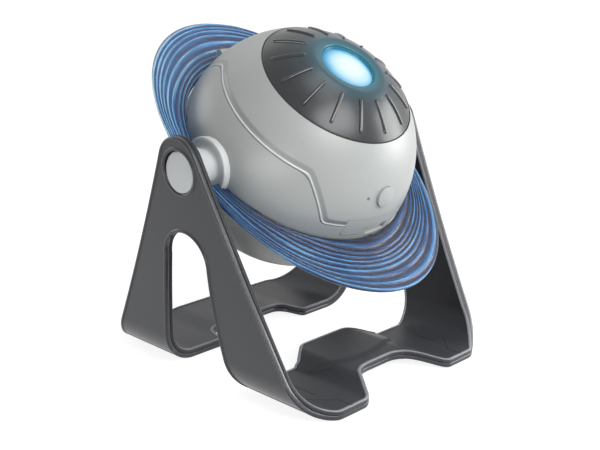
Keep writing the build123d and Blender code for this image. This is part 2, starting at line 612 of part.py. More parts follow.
def make_upper_cover():
    shell = ball(BALL_RADIUS) - ball(BALL_INNER)
    shell &= cover_region(0)
    shell -= latch_region(SEAM_GAP, LATCH_FOOT - SEAM_GAP)
    shell -= Pos(0, 0, SEAM_HEIGHT) * cylinder(DOME_EDGE_RADIUS + TURN_GAP, REACH)
    # step that carries the dome from below and takes the lens guide's screws
    dome_foot = sqrt((BALL_RADIUS - DOME_SINK - DOME_WALL) ** 2 - DOME_EDGE_RADIUS ** 2)
    step_low = GUIDE_PLATE_HEIGHT + GUIDE_PLATE + SEAT_GAP
    step = tube(DOME_EDGE_RADIUS + 2.6, GUIDE_RADIUS - 4, step_low, dome_foot - TURN_GAP)
    shell += step & ball(BALL_INNER + 0.5)
    # button and indicator holes
    shell -= button_frame() * Pos(0, 0, -8) * cylinder(BUTTON_RADIUS + 0.25, 20)
    shell -= indicator_frame() * Pos(0, 0, -8) * cylinder(LIGHT_RADIUS + 0.1, 20)
    # bosses for the button board
    for x in (-BUTTON_BOSS_X, BUTTON_BOSS_X):
        boss = Pos(x, 0, -BUTTON_BOARD_DEPTH) * cylinder(2.2, BUTTON_BOARD_DEPTH)
        boss = (button_frame() * boss) & ball(BALL_INNER + 0.5)
        shell += boss
    # screw holes for the guide plate
    hole = Pos(GUIDE_SCREW_CIRCLE, 0, GUIDE_PLATE_HEIGHT) * cylinder(SCREW_RADIUS + 0.05, GUIDE_PLATE + 1.35)
    for copy in ring_of(hole, 3, 90):
        shell -= copy
    # middle knuckle of the hinge
    shell += knuckle(-KNUCKLE_HALF, KNUCKLE_HALF, False)
    room = x_cylinder(KNUCKLE_RADIUS + 0.4, KNUCKLE_HALF, KNUCKLE_HALF + 7.4, HINGE_Y, HINGE_H)
    for side in both_sides(room):
        shell -= side
    shell -= x_cylinder(HINGE_PIN_RADIUS + RUNNING_GAP, -KNUCKLE_HALF - 8, KNUCKLE_HALF + 8, HINGE_Y, HINGE_H)
    return shell


GUIDE_SCREW_CIRCLE = GUIDE_RADIUS - 2.0
BUTTON_LATITUDE = 23.2
BUTTON_RADIUS = 6.4
BUTTON_PROUD = 1.5
BUTTON_TRAVEL = 1.0
BUTTON_BOSS_X = 17.5
LIGHT_RADIUS = 1.0
LIGHT_SIDE_ANGLE = 11.0
BUTTON_BOARD_DEPTH = 9.0
BUTTON_FLANGE_DEPTH = 3.3   # top of the button's flange below the skin
SWITCH_HEIGHT = 2.6         # body and stem above the button board


def button_frame():
    """Plane on the ball's skin with its normal out of the button."""
    return Rot(90 - BUTTON_LATITUDE, 0, 0) * Pos(0, 0, BALL_RADIUS)


def indicator_frame():
    return Rot(0, 0, -LIGHT_SIDE_ANGLE) * Rot(90 - BUTTON_LATITUDE, 0, 0) * Pos(0, 0, BALL_RADIUS)


def make_power_button():
    crown = Pos(0, 0, -22) * Sphere(22 + BUTTON_PROUD + 0.6)
    foot = -BUTTON_FLANGE_DEPTH - 1.0
    tip = -BUTTON_BOARD_DEPTH + SWITCH_HEIGHT + BUTTON_TRAVEL + 0.1
    cap = (Pos(0, 0, foot) * cylinder(BUTTON_RADIUS, 10)) & crown
    cap += Pos(0, 0, foot) * cylinder(BUTTON_RADIUS + 1.0, 1.0)
    cap += Pos(0, 0, tip) * cylinder(1.6, foot - tip + 0.1)
    return button_frame() * cap


def make_button_board():
    plate = Pos(0, 0, -BUTTON_BOARD_DEPTH - BOARD_THICKNESS) * Box(
        44, 16, BOARD_THICKNESS, align=(Align.CENTER, Align.CENTER, Align.MIN))
    return button_frame() * plate


def make_tact_switch():
    base = Pos(0, 0, -BUTTON_BOARD_DEPTH) * Box(6, 6, 2.0, align=(Align.CENTER, Align.CENTER, Align.MIN))
    stem = Pos(0, 0, -BUTTON_BOARD_DEPTH + 1.9) * cylinder(1.5, SWITCH_HEIGHT - 1.9)
    return button_frame() * (base + stem)


def make_status_light():
    """Light pipe from the board to the skin of the cover."""
    pipe = indicator_frame() * Pos(0, 0, -BUTTON_BOARD_DEPTH - 1) * cylinder(LIGHT_RADIUS, REACH - BALL_RADIUS)
    board_side = button_frame() * Pos(0, 0, -30 - BUTTON_BOARD_DEPTH + 0.1) * Box(
        60, 40, 30, align=(Align.CENTER, Align.CENTER, Align.MIN))
    return (pipe & ball(BALL_RADIUS + 0.1)) - board_side


def make_latch():
    """Sprung tab under the cover's front edge, with a finger recess."""
    plate = (ball(BALL_RADIUS) - ball(BALL_INNER)) & latch_region(0, LATCH_FOOT + LATCH_SWING)
    high, low = LATCH_FOOT + RECESS_RISE, LATCH_FOOT - 2
    left, right = RECESS_LEFT, RECESS_RIGHT
    plan = Polyline((left, 0, high), (right, 0, high), (right, 0, low), (left + 9, 0, low), close=True)
    recess = Pos(0, -REACH, 0) * extrude(make_face(plan), REACH, dir=(0, 1, 0))
    plate -= recess - ball(BALL_RADIUS - RECESS_DEPTH)
    reach = LATCH_EAR - FACE_GAP
    arm = block(-reach, reach, -BALL_RADIUS, LATCH_PIN_Y, LATCH_PIN_H - 1.0, LATCH_PIN_H + 1.6)
    latch = plate + (arm & ball(BALL_INNER + 0.3)) + x_cylinder(1.7, -reach, reach, LATCH_PIN_Y, LATCH_PIN_H)
    return latch - x_cylinder(LATCH_PIN_RADIUS + RUNNING_GAP, -40, 40, LATCH_PIN_Y, LATCH_PIN_H)


def make_latch_pin():
    return x_cylinder(LATCH_PIN_RADIUS, -LATCH_EAR - 1.9, LATCH_EAR + 1.9, LATCH_PIN_Y, LATCH_PIN_H)


def make_hinge_pin():
    return x_cylinder(HINGE_PIN_RADIUS, -KNUCKLE_HALF - 7, KNUCKLE_HALF + 7, HINGE_Y, HINGE_H)


# ---------------------------------------------------------------- collars and caps
def make_collar():
    """Right collar: flange on the ball, waist, outer disc and the hollow journal."""
    inner, end, edge = COLLAR_SEAT + SEAT_GAP, SEAT_DEPTH + 0.2, 0.8
    profile = Polyline(
        (inner, 0), (inner, FLANGE_RADIUS), (FLANGE_OUT - edge, FLANGE_RADIUS),
        (FLANGE_OUT, FLANGE_RADIUS - edge), (FLANGE_OUT, NECK_RADIUS), (DISC_IN, NECK_RADIUS),
        (DISC_IN, DISC_RADIUS - edge), (DISC_IN + edge, DISC_RADIUS), (DISC_OUT, DISC_RADIUS),
        (DISC_OUT, JOURNAL_RADIUS), (end, JOURNAL_RADIUS), (end, 0), close=True)
    body = revolve(make_face(profile), axis=Axis.X)
    body -= x_cylinder(JOURNAL_BORE, FLANGE_OUT, 2 * REACH)
    for y in (-COLLAR_SCREW_OFFSET, COLLAR_SCREW_OFFSET):
        body -= x_cylinder(SCREW_RADIUS + 0.05, BALL_INNER - 5, FLANGE_OUT - 1, y)
    return body


def make_collar_screws():
    screws = []
    head = COLLAR_SEAT - COLLAR_PLATE
    for y in (-COLLAR_SCREW_OFFSET, COLLAR_SCREW_OFFSET):
        screw = x_cylinder(SCREW_HEAD_RADIUS, head - SCREW_HEAD, head, y)
        screws += both_sides(screw + x_cylinder(SCREW_RADIUS, head - 0.2, FLANGE_OUT - 1.4, y))
    return screws


def make_pivot_cap():
    plug_start = DISC_IN + 1.5
    cap = x_cylinder(CAP_RADIUS, SEAT_DEPTH + 0.25, CAP_FACE)
    cap += x_cylinder(JOURNAL_BORE - 0.1, plug_start, SEAT_DEPTH + 0.3)
    cap -= x_cylinder(JOURNAL_BORE - 1.8, plug_start - 1, SEAT_DEPTH)
    return chamfer(cap.edges().group_by(Axis.X)[-1], 0.5)


# ---------------------------------------------------------------- oval ring
def ring_oval(share):
    """Oval between the ball (share 0) and the ring's outer edge (share 1)."""
    inner = BALL_RADIUS + RING_SEAT_GAP
    a = inner + (RING_HALF_WIDTH - inner) * share
    b = inner + (RING_HALF_LENGTH - inner) * share
    return a, b


def oval_prism(share, low, high):
    a, b = ring_oval(share)
    return Pos(0, 0, low) * extrude(Rot(0, 0, 90) * Ellipse(b, a).face(), high - low)


def ring_tabs(grow):
    size = (8, RING_TAB_WIDTH + 2 * grow, RING_TAB_THICKNESS + 2 * grow)
    tab = Pos(BALL_INNER - 2.5 - grow, 0, 0) * Box(*size, align=(Align.MIN, Align.CENTER, Align.CENTER))
    return [Rot(0, 0, sign * angle) * tab for sign in (-1, 1) for angle in RING_TAB_ANGLES]


def make_ring_half(sign):
    """Front (sign -1) or rear (sign 1) half of the ring, ridged on both faces."""
    half = RING_THICKNESS / 2
    ring = oval_prism(1.0, -half, half)
    for i in range(RING_RIDGES):
        outer, inner = (i + 0.9) / RING_RIDGES * 0.94, (i + 0.45) / RING_RIDGES * 0.94
        for low, high in ((half - RIDGE_DEPTH, half + 1), (-half - 1, -half + RIDGE_DEPTH)):
            ring -= oval_prism(outer, low, high) - oval_prism(inner, low - 1, high + 1)
    far = RING_HALF_LENGTH + 10
    y0, y1 = sorted((0, sign * far))
    ring &= block(-far, far, y0, y1, -5, 5)
    ring -= Pos(0, 0, -10) * cylinder(BALL_RADIUS + RING_SEAT_GAP, 20)
    over_flange = x_cylinder(FLANGE_RADIUS + COLLAR_CLEAR, BALL_RADIUS - 15, FLANGE_OUT + COLLAR_CLEAR)
    round_disc = x_cylinder(DISC_RADIUS + COLLAR_CLEAR, BALL_RADIUS - 15, far)
    for side in both_sides(over_flange) + both_sides(round_disc):
        ring -= side
    for tab in ring_tabs(0):
        if tab.center().Y * sign > 0:
            ring += tab
    return ring


# ---------------------------------------------------------------- dome and lens
def make_focus_dome():
    outer = BALL_RADIUS - DOME_SINK
    shell = ball(outer) - ball(outer - DOME_WALL)
    shell &= Pos(0, 0, SEAM_HEIGHT) * cylinder(DOME_EDGE_RADIUS, REACH)
    rib_plan = Pos((RIB_INNER + RIB_OUTER) / 2, 0, 0) * SlotOverall(RIB_OUTER - RIB_INNER, RIB_WIDTH)
    rib = extrude(rib_plan, REACH) & (ball(outer + RIB_PROUD) - ball(outer - 1))
    for copy in ring_of(rib, RIB_COUNT, -90):
        shell += copy
    well_outer = LENS_WELL_RADIUS + WELL_WALL
    well_top = sqrt(outer ** 2 - well_outer ** 2)
    shell += tube(well_outer, LENS_WELL_RADIUS, WELL_FOOT, well_top)
    shell -= Pos(0, 0, SEAM_HEIGHT) * cylinder(LENS_WELL_RADIUS, REACH)
    # countersunk edge of the well
    sink = Cone(LENS_WELL_RADIUS, LENS_WELL_RADIUS + 3, 3, align=(Align.CENTER, Align.CENTER, Align.MIN))
    return shell - Pos(0, 0, well_top - 1.0) * sink


def make_lens_barrel():
    barrel = tube(BARREL_RADIUS, BARREL_BORE, BARREL_FOOT, BARREL_TOP)
    barrel += tube(BARREL_BORE + 0.2, BARREL_BORE - 1.6, FRONT_LENS_EDGE - 5.0, FRONT_LENS_EDGE - 3.2)
    barrel += tube(BARREL_BORE + 0.2, BARREL_BORE - 1.6, REAR_LENS_FOOT - 1.6, REAR_LENS_FOOT - 0.05)
    return barrel


def make_front_lens():
    crown = FRONT_LENS_CROWN - FRONT_LENS_EDGE
    radius = (BARREL_BORE ** 2 + crown ** 2) / (2 * crown)
    body = Pos(0, 0, FRONT_LENS_EDGE - 3.1) * cylinder(BARREL_BORE - 0.1, 10)
    return body & (Pos(0, 0, FRONT_LENS_CROWN - radius) * Sphere(radius))


def make_rear_lens():
    crown = 3.0
    radius = ((BARREL_BORE - 0.1) ** 2 + crown ** 2) / (2 * crown)
    body = Pos(0, 0, REAR_LENS_FOOT) * cylinder(BARREL_BORE - 0.1, 12)
    return body & (Pos(0, 0, REAR_LENS_FOOT + 5.0 - radius) * Sphere(radius))


def make_lens_ring():
    """Threaded ring that holds the front lens in the barrel."""
    return tube(BARREL_BORE - 0.05, BARREL_BORE - 1.3, FRONT_LENS_CROWN + 0.1, BARREL_TOP - 0.2)


def make_lens_guide():
    """Plate under the dome with the tube in which the barrel slides."""
    plate = tube(GUIDE_RADIUS, LENS_WELL_RADIUS - 0.1, GUIDE_PLATE_HEIGHT, GUIDE_PLATE_HEIGHT + GUIDE_PLATE)
    sleeve = tube(LENS_WELL_RADIUS + 1.6, BARREL_RADIUS + RUNNING_GAP, GUIDE_PLATE_HEIGHT, WELL_FOOT - 0.5)
    guide = plate + sleeve
    start = LENS_WELL_RADIUS + 1.4
    rib = block(start, GUIDE_RADIUS - 8, -0.8, 0.8, GUIDE_PLATE_HEIGHT + 0.5, GUIDE_PLATE_HEIGHT + 4.5)
    for copy in ring_of(rib, 6, 30):
        guide += copy
    hole = Pos(GUIDE_SCREW_CIRCLE, 0, GUIDE_PLATE_HEIGHT - 5) * cylinder(SCREW_RADIUS + 0.1, 20)
    for copy in ring_of(hole, 3, 90):
        guide -= copy
    return guide


def make_guide_screws():
    head = GUIDE_PLATE_HEIGHT - SCREW_HEAD
    screw = Pos(GUIDE_SCREW_CIRCLE, 0, head) * cylinder(SCREW_HEAD_RADIUS - 0.6, SCREW_HEAD)
    screw += Pos(GUIDE_SCREW_CIRCLE, 0, GUIDE_PLATE_HEIGHT - 0.2) * cylinder(SCREW_RADIUS, GUIDE_PLATE + 1.2)
    return ring_of(screw, 3, 90)


# ---------------------------------------------------------------- star disc and its drive
CARRIER_PITCH = GEAR_MODULE * CARRIER_TEETH / 2
PINION_PITCH = GEAR_MODULE * PINION_TEETH / 2
GEAR_CENTRES = CARRIER_PITCH + PINION_PITCH + GEAR_BACKLASH / 2
CARRIER_HEIGHT = TRAY_HEIGHT + TRAY_THICKNESS + 1.0
MOTOR_ANGLE = 200.0


def gear(teeth, width, phase):
    """Spur gear blank with straight-flanked teeth of the common module."""
    pitch = GEAR_MODULE * teeth / 2
    root = pitch - 1.25 * GEAR_MODULE
    tip = pitch + 0.85 * GEAR_MODULE
    half_pitch = pi * GEAR_MODULE / 4 - 0.08
    half_root, half_tip = half_pitch + 0.42 * GEAR_MODULE, half_pitch - 0.36 * GEAR_MODULE
    points = []
    for i in range(teeth):
        middle = 2 * pi * i / teeth + phase
        for radius, half in ((root, -half_root), (tip, -half_tip), (tip, half_tip), (root, half_root)):
            angle = middle + half / radius
            points.append((radius * cos(angle), radius * sin(angle)))
    return extrude(make_face(Polyline(*points, close=True)), width)


def make_disc_carrier():
    carrier = Pos(0, 0, CARRIER_HEIGHT) * gear(CARRIER_TEETH, GEAR_WIDTH, 0)
    carrier -= Pos(0, 0, CARRIER_HEIGHT + 2.0) * cylinder(STAR_DISC_RADIUS + 0.3, 10)
    carrier -= Pos(0, 0, CARRIER_HEIGHT - 5) * cylinder(STAR_DISC_RADIUS - 2.5, 20)
    hub = tube(STAR_DISC_RADIUS + 0.8, STAR_DISC_RADIUS - 2.5, CARRIER_HEIGHT - 2.6, CARRIER_HEIGHT + 0.1)
    return carrier + hub


def make_star_disc():
    return Pos(0, 0, CARRIER_HEIGHT + 2 + SEAT_GAP) * cylinder(STAR_DISC_RADIUS, STAR_DISC_THICKNESS)


def motor_place():
    return Rot(0, 0, MOTOR_ANGLE) * Pos(GEAR_CENTRES, 0, 0)


def make_motor_pinion():
    mesh_angle = radians(MOTOR_ANGLE)
    # the carrier's tooth nearest the line of centres decides how the pinion is turned into mesh
    tooth_pitch = 2 * pi / CARRIER_TEETH
    offset = (mesh_angle % tooth_pitch) / tooth_pitch
    phase = mesh_angle + pi + (0.5 + offset) * 2 * pi / PINION_TEETH
    pinion = gear(PINION_TEETH, GEAR_WIDTH + 0.6, phase)
    pinion -= cylinder(1.5 + RUNNING_GAP, 20)
    place = Pos(GEAR_CENTRES * cos(mesh_angle), GEAR_CENTRES * sin(mesh_angle), CARRIER_HEIGHT - 0.3)
    return place * pinion


def make_gear_motor():
    """Slow geared motor under the tray; its shaft comes up through the tray into the pinion."""
    can = Pos(0, 0, 7) * cylinder(11.0, TRAY_HEIGHT - 7.05)
    shaft = Pos(0, 0, TRAY_HEIGHT - 0.2) * cylinder(1.5, CARRIER_HEIGHT + GEAR_WIDTH - TRAY_HEIGHT + 0.4)
    boss = Pos(0, 0, TRAY_HEIGHT - 0.2) * cylinder(3.4, 1.4)
    return motor_place() * (can + shaft + boss)


def make_disc_tray():
    tray = tube(TRAY_RADIUS, LIGHT_TUBE_RADIUS + 0.2, TRAY_HEIGHT, TRAY_HEIGHT + TRAY_THICKNESS)
    tray &= ball(BALL_INNER - 0.4)
    # well in which the carrier's hub turns
    hub = STAR_DISC_RADIUS + 0.8 + RUNNING_GAP
    tray += tube(hub + 1.6, hub, TRAY_HEIGHT + TRAY_THICKNESS - 0.1, CARRIER_HEIGHT - 0.3)
    tray -= Pos(0, 0, TRAY_HEIGHT + 0.9) * cylinder(hub, 10)
    tray -= motor_place() * Pos(0, 0, 0) * cylinder(3.6, 60)
    for x_post in ring_of(Pos(TRAY_POST_CIRCLE, 0, 0) * cylinder(SCREW_RADIUS + 0.1, 60), 4, TRAY_POST_START):
        tray -= x_post
    # flat that leaves room for the button board as the cover swings
    tray &= block(-REACH, REACH, -TRAY_FRONT, REACH, 0, REACH)
    return tray


def make_tray_screws():
    screw = Pos(TRAY_POST_CIRCLE, 0, TRAY_HEIGHT + TRAY_THICKNESS) * cylinder(SCREW_HEAD_RADIUS, SCREW_HEAD)
    screw += Pos(TRAY_POST_CIRCLE, 0, TRAY_HEIGHT - 6) * cylinder(SCREW_RADIUS, TRAY_THICKNESS + 6.2)
    return ring_of(screw, 4, TRAY_POST_START)


# ---------------------------------------------------------------- lamp
def make_light_tube():
    shroud = tube(LIGHT_TUBE_RADIUS, LIGHT_TUBE_RADIUS - 1.6, LED_BOARD_HEIGHT + 2.1, TRAY_HEIGHT + 0.6)
    shroud += tube(LIGHT_TUBE_RADIUS + 3, LIGHT_TUBE_RADIUS - 0.4, TRAY_HEIGHT - 1.65, TRAY_HEIGHT - 0.05)
    shroud += tube(LIGHT_TUBE_RADIUS - 1.5, LIGHT_TUBE_RADIUS - 3.0, 8.0, 9.5)
    return shroud


def make_condenser_lens():
    radius = 24.0
    body = Pos(0, 0, 9.55) * cylinder(LIGHT_TUBE_RADIUS - 1.7, 14)
    return body & (Pos(0, 0, 19.0 - radius) * Sphere(radius))


def make_led_board():
    return Pos(0, 0, LED_BOARD_HEIGHT) * cylinder(LIGHT_TUBE_RADIUS, 2.0)


def make_led_emitter():
    base = Pos(-3, -3, LED_BOARD_HEIGHT + 2.0) * Box(6, 6, 1.2, align=(Align.MIN, Align.MIN, Align.MIN))
    dome = (Pos(0, 0, LED_BOARD_HEIGHT + 3.1) * Sphere(2.6)) & block(-4, 4, -4, 4, LED_BOARD_HEIGHT + 3.1, 10)
    return base + dome


def make_heatsink():
    sink = Pos(0, 0, LED_BOARD_HEIGHT - 3) * cylinder(LIGHT_TUBE_RADIUS + 2, 3)
    low = LED_BOARD_HEIGHT - SINK_HEIGHT
    for i in range(-4, 5):
        x = i * (LIGHT_TUBE_RADIUS + 2) / 4.8
        half = sqrt((LIGHT_TUBE_RADIUS + 2) ** 2 - x ** 2)
        sink += block(x - 0.7, x + 0.7, -half, half, low, LED_BOARD_HEIGHT - 2.9)
    return sink


# ---------------------------------------------------------------- electronics and batteries
def make_battery_box():
    """Tray for three cells, open towards the door."""
    half_x = 1.5 * BATTERY_PITCH + 0.4 + BOX_WALL
    half_y = BATTERY_LENGTH / 2 + 2.6 + BOX_WALL
    low = BATTERY_HEIGHT - BATTERY_RADIUS + 1.0
    box = block(-half_x, half_x, -half_y, half_y, low, BOX_TOP + BOX_WALL)
    in_x, in_y = half_x - BOX_WALL, half_y - BOX_WALL
    box -= block(-in_x, in_x, -in_y, in_y, low - 1, BOX_TOP)
    # legs up to the main board's underside
    for x in (-20.0, 20.0):
        for y in (-20.0, 20.0):
            box += Pos(x, y, BOX_TOP + BOX_WALL - 0.1) * cylinder(2.4, BOX_LEG + 0.1 - SEAT_GAP)
    return box


def make_main_board():
    standing = (Align.CENTER, Align.CENTER, Align.MIN)
    board = Pos(0, 0, BOARD_HEIGHT) * Box(64, 58, BOARD_THICKNESS, align=standing)
    for x, y in BOARD_SCREW_PLACES:
        board -= Pos(x, y, BOARD_HEIGHT - 1) * cylinder(SCREW_RADIUS + 0.1, 4)
    board += Pos(14, 10, BOARD_HEIGHT + 1.5) * Box(10, 10, 1.6, align=standing)
    board += Pos(-16, -12, BOARD_HEIGHT + 1.5) * cylinder(4.0, 8.0)
    board += Pos(16, -14, BOARD_HEIGHT + 1.5) * Box(12, 5, 6.0, align=standing)
    return board


def make_board_screws():
    top = BOARD_HEIGHT + BOARD_THICKNESS
    return [screw_along_z(x, y, top, 6.0, head_up=True) for x, y in BOARD_SCREW_PLACES]


def make_batteries():
    cells = []
    for i in (-1, 0, 1):
        turn = 1 if i % 2 else -1
        can = Pos(0, 0, -BATTERY_LENGTH / 2) * cylinder(BATTERY_RADIUS, BATTERY_LENGTH - 1.2)
        knob = Pos(0, 0, BATTERY_LENGTH / 2 - 1.3) * cylinder(2.7, 1.2)
        cells.append(Pos(i * BATTERY_PITCH, 0, BATTERY_HEIGHT) * Rot(-90 * turn, 0, 0) * (can + knob))
    return cells


def make_battery_contacts():
    strips = []
    y = BATTERY_LENGTH / 2 + 2.4
    for sign in (-1, 1):
        for x0, x1 in (((-21, -1), (1, 21)) if sign > 0 else ((-21, -8), (-6, 21))):
            strip = block(x0, x1, y - 0.5, y, BATTERY_HEIGHT - 5, BATTERY_HEIGHT + 5)
            if sign < 0:
                strip = mirror(strip, about=Plane.XZ)
            strips.append(strip)
    return strips


def make_battery_door():
    """Round cap of the ball's wall, hooked in at the front and screwed at the rear."""
    wall = Pos(0, 0, -REACH) * cylinder(BATTERY_DOOR_RADIUS, REACH - 40)
    door = (ball(BALL_RADIUS) - ball(BALL_INNER)) & wall
    # tongue that hooks behind the ledge
    riser = FACE_GAP - sqrt(LEDGE_EDGE ** 2 - TONGUE_HALF ** 2)
    hook_low, hook_high = DOOR_TAB_FOOT + 2.3, DOOR_TAB_FOOT + 3.8
    post = block(-TONGUE_HALF, TONGUE_HALF, riser, riser + 2.6, -BALL_RADIUS, hook_high)
    hook = block(-TONGUE_HALF, TONGUE_HALF, -LEDGE_EDGE - 3.5, riser + 2.6, hook_low, hook_high)
    door += (post & ball(BALL_INNER + 0.3)) + (hook & ball(BALL_INNER - 1.9))
    boss = Pos(0, DOOR_SCREW_Y, -BALL_RADIUS) * cylinder(4.0, BALL_RADIUS + DOOR_TAB_FOOT - FACE_GAP)
    door += boss & ball(BALL_RADIUS - 1)
    head_depth = REACH + DOOR_SCREW_HEAD + SCREW_HEAD
    door -= Pos(0, DOOR_SCREW_Y, -REACH) * cylinder(SCREW_HEAD_RADIUS + 0.3, head_depth)
    return door - Pos(0, DOOR_SCREW_Y, -REACH) * cylinder(SCREW_RADIUS + 0.1, REACH)


def make_door_screw():
    head = Pos(0, DOOR_SCREW_Y, DOOR_SCREW_HEAD) * cylinder(SCREW_HEAD_RADIUS, SCREW_HEAD)
    shank = Pos(0, DOOR_SCREW_Y, DOOR_SCREW_HEAD + SCREW_HEAD - 0.1) * cylinder(SCREW_RADIUS, 7.2)
    return head + shank


# ---------------------------------------------------------------- all nodes
def left_of(shape):
    return mirror(shape, about=Plane.YZ)


STAND_NODES = {
    "stand_shell": make_stand_shell,
    "stand_liner": make_stand_liner,
    "stand_screws": make_stand_screws,
    "foot_pads": make_foot_pads,
    "pivot_bush_right": make_bush,
    "pivot_bush_left": lambda: left_of(make_bush()),
}

BALL_NODES = {
    "lower_housing": make_lower_housing,
    "upper_cover": make_upper_cover,
    "collar_right": make_collar,
    "collar_left": lambda: left_of(make_collar()),
    "collar_screws": make_collar_screws,
    "pivot_cap_right": make_pivot_cap,
    "pivot_cap_left": lambda: left_of(make_pivot_cap()),
    "ring_front": lambda: make_ring_half(-1),
    "ring_rear": lambda: make_ring_half(1),
    "hinge_pin": make_hinge_pin,
    "cover_latch": make_latch,
    "latch_pin": make_latch_pin,
    "focus_dome": make_focus_dome,
    "lens_barrel": make_lens_barrel,
    "lens_ring": make_lens_ring,
    "front_lens": make_front_lens,
    "rear_lens": make_rear_lens,
    "lens_guide": make_lens_guide,
    "guide_screws": make_guide_screws,
    "power_button": make_power_button,
    "button_board": make_button_board,
    "tact_switch": make_tact_switch,
    "status_light": make_status_light,
    "disc_carrier": make_disc_carrier,
    "star_disc": make_star_disc,
    "motor_pinion": make_motor_pinion,
    "gear_motor": make_gear_motor,
    "disc_tray": make_disc_tray,
    "tray_screws": make_tray_screws,
    "light_tube": make_light_tube,
    "condenser_lens": make_condenser_lens,
    "led_board": make_led_board,
    "led_emitter": make_led_emitter,
    "heatsink": make_heatsink,
    "main_board": make_main_board,
    "board_screws": make_board_screws,
    "battery_box": make_battery_box,
    "batteries": make_batteries,
    "battery_contacts": make_battery_contacts,
    "battery_door": make_battery_door,
    "battery_door_screw": make_door_screw,
}


def export_node(name, made, place):
    """Write one node, which is a single solid or a group of separate ones."""
    shapes = made if isinstance(made, list) else [made]
    solids = [place(solid) for shape in shapes for solid in shape.solids()]
    export_step(solids[0] if len(solids) == 1 else Compound(children=solids), f"parts/{name}.step")


for node, make in STAND_NODES.items():
    export_node(node, make(), lambda solid: solid)
for node, make in BALL_NODES.items():
    export_node(node, make(), seat)
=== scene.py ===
from math import asin, atan, atan2, cos, floor, hypot, pi, radians, sin, sqrt, tan

import bmesh
import bpy
from mathutils import Matrix, Vector, noise


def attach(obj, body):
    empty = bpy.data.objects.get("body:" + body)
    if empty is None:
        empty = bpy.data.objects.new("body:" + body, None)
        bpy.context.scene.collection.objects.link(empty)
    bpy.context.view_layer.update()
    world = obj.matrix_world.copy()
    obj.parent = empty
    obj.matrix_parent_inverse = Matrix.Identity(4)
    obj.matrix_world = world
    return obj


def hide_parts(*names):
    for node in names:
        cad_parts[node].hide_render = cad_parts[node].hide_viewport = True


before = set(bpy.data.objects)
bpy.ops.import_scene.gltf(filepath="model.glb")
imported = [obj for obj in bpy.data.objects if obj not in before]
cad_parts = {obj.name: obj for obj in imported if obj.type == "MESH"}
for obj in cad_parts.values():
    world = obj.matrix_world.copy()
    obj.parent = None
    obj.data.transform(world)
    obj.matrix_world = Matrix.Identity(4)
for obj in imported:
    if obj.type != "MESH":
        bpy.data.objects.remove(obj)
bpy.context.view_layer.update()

# ---------------------------------------------------------------- sizes, millimetres
MM = 0.001
PIVOT_HEIGHT = 134.2
TILT = radians(37.5)
DOME_RADIUS = 74.7
DOME_WALL = 2.2
DOME_EDGE = 49.6
WELL_RADIUS = 17.6
WELL_OUTER = 19.8
WELL_FOOT = 58.0
RIB_COUNT = 15
RIB_INNER = 27.5
RIB_OUTER = 46.0
RIB_WIDTH = 2.2
RIB_PROUD = 1.0
RING_HALF_WIDTH = 87.5
RING_HALF_LENGTH = 116.5
RING_INNER = 75.25
RING_END = 13.9            # the ring's halves stop this far from the tilt axis
RING_END_AT_FLANGE = 18.7  # and this far beside the collars' flanges
SHEET = 6.0
SHELL_SKIN = 3.2
ARM_LEAN = radians(5.0)
BEND_RADIUS = 25.0
STAND_HALF_DEPTH = 96.5
CAP_HOLE = 12.7

# a piece drawn about the ball's centre, lens upwards, goes to its place with this
ON_BALL = Matrix.Translation((0, 0, PIVOT_HEIGHT)) @ Matrix.Rotation(TILT, 4, "X")


# ---------------------------------------------------------------- shader helpers
def linear(red, green, blue):
    """Screen colour, 0 to 255, as the shader's linear colour."""
    channels = []
    for value in (red, green, blue):
        value /= 255
        channels.append(value / 12.92 if value <= 0.04045 else ((value + 0.055) / 1.055) ** 2.4)
    return (*channels, 1.0)


def put(tree, kind, inputs=None, **settings):
    node = tree.nodes.new("ShaderNode" + kind)
    for key, value in settings.items():
        setattr(node, key, value)
    for key, value in (inputs or {}).items():
        socket = node.inputs[key]
        if isinstance(value, bpy.types.NodeSocket):
            tree.links.new(value, socket)
        else:
            socket.default_value = value
    return node


def sums(tree, operation, first, second=None, third=None, clamp=False):
    inputs = {0: first}
    if second is not None:
        inputs[1] = second
    if third is not None:
        inputs[2] = third
    return put(tree, "Math", inputs, operation=operation, use_clamp=clamp).outputs[0]


def times(tree, first, second):
    return sums(tree, "MULTIPLY", first, second)


def plus(tree, first, second):
    return sums(tree, "ADD", first, second)


def minus(tree, first, second):
    return sums(tree, "SUBTRACT", first, second)


def larger(tree, first, second):
    return sums(tree, "MAXIMUM", first, second)


def spread(tree, value, low, high, to_low=0.0, to_high=1.0, smooth=False):
    kind = "SMOOTHSTEP" if smooth else "LINEAR"
    inputs = {0: value, 1: low, 2: high, 3: to_low, 4: to_high}
    return put(tree, "MapRange", inputs, interpolation_type=kind).outputs[0]


def blend_colour(tree, share, first, second):
    node = tree.nodes.new("ShaderNodeMix")
    node.data_type = "RGBA"
    for socket, value in ((node.inputs[0], share), (node.inputs[6], first), (node.inputs[7], second)):
        if isinstance(value, bpy.types.NodeSocket):
            tree.links.new(value, socket)
        else:
            socket.default_value = value
    return node.outputs[2]


def ramp(tree, value, stops):
    node = put(tree, "ValToRGB", {0: value})
    band = node.color_ramp
    while len(band.elements) < len(stops):
        band.elements.new(0.5)
    for element, (place, colour) in zip(band.elements, stops):
        element.position = place
        element.color = colour
    return node.outputs[0]


def new_effect(name, takes, gives):
    """Shader node group with named number sockets; returns it with its inner sockets."""
    group = bpy.data.node_groups.new(name, "ShaderNodeTree")
    for title, value in takes:
        socket = group.interface.new_socket(title, in_out="INPUT", socket_type="NodeSocketFloat")
        socket.default_value = value
    for title in gives:
        group.interface.new_socket(title, in_out="OUTPUT", socket_type="NodeSocketFloat")
    start = group.nodes.new("NodeGroupInput")
    end = group.nodes.new("NodeGroupOutput")
    return group, start.outputs, end.inputs


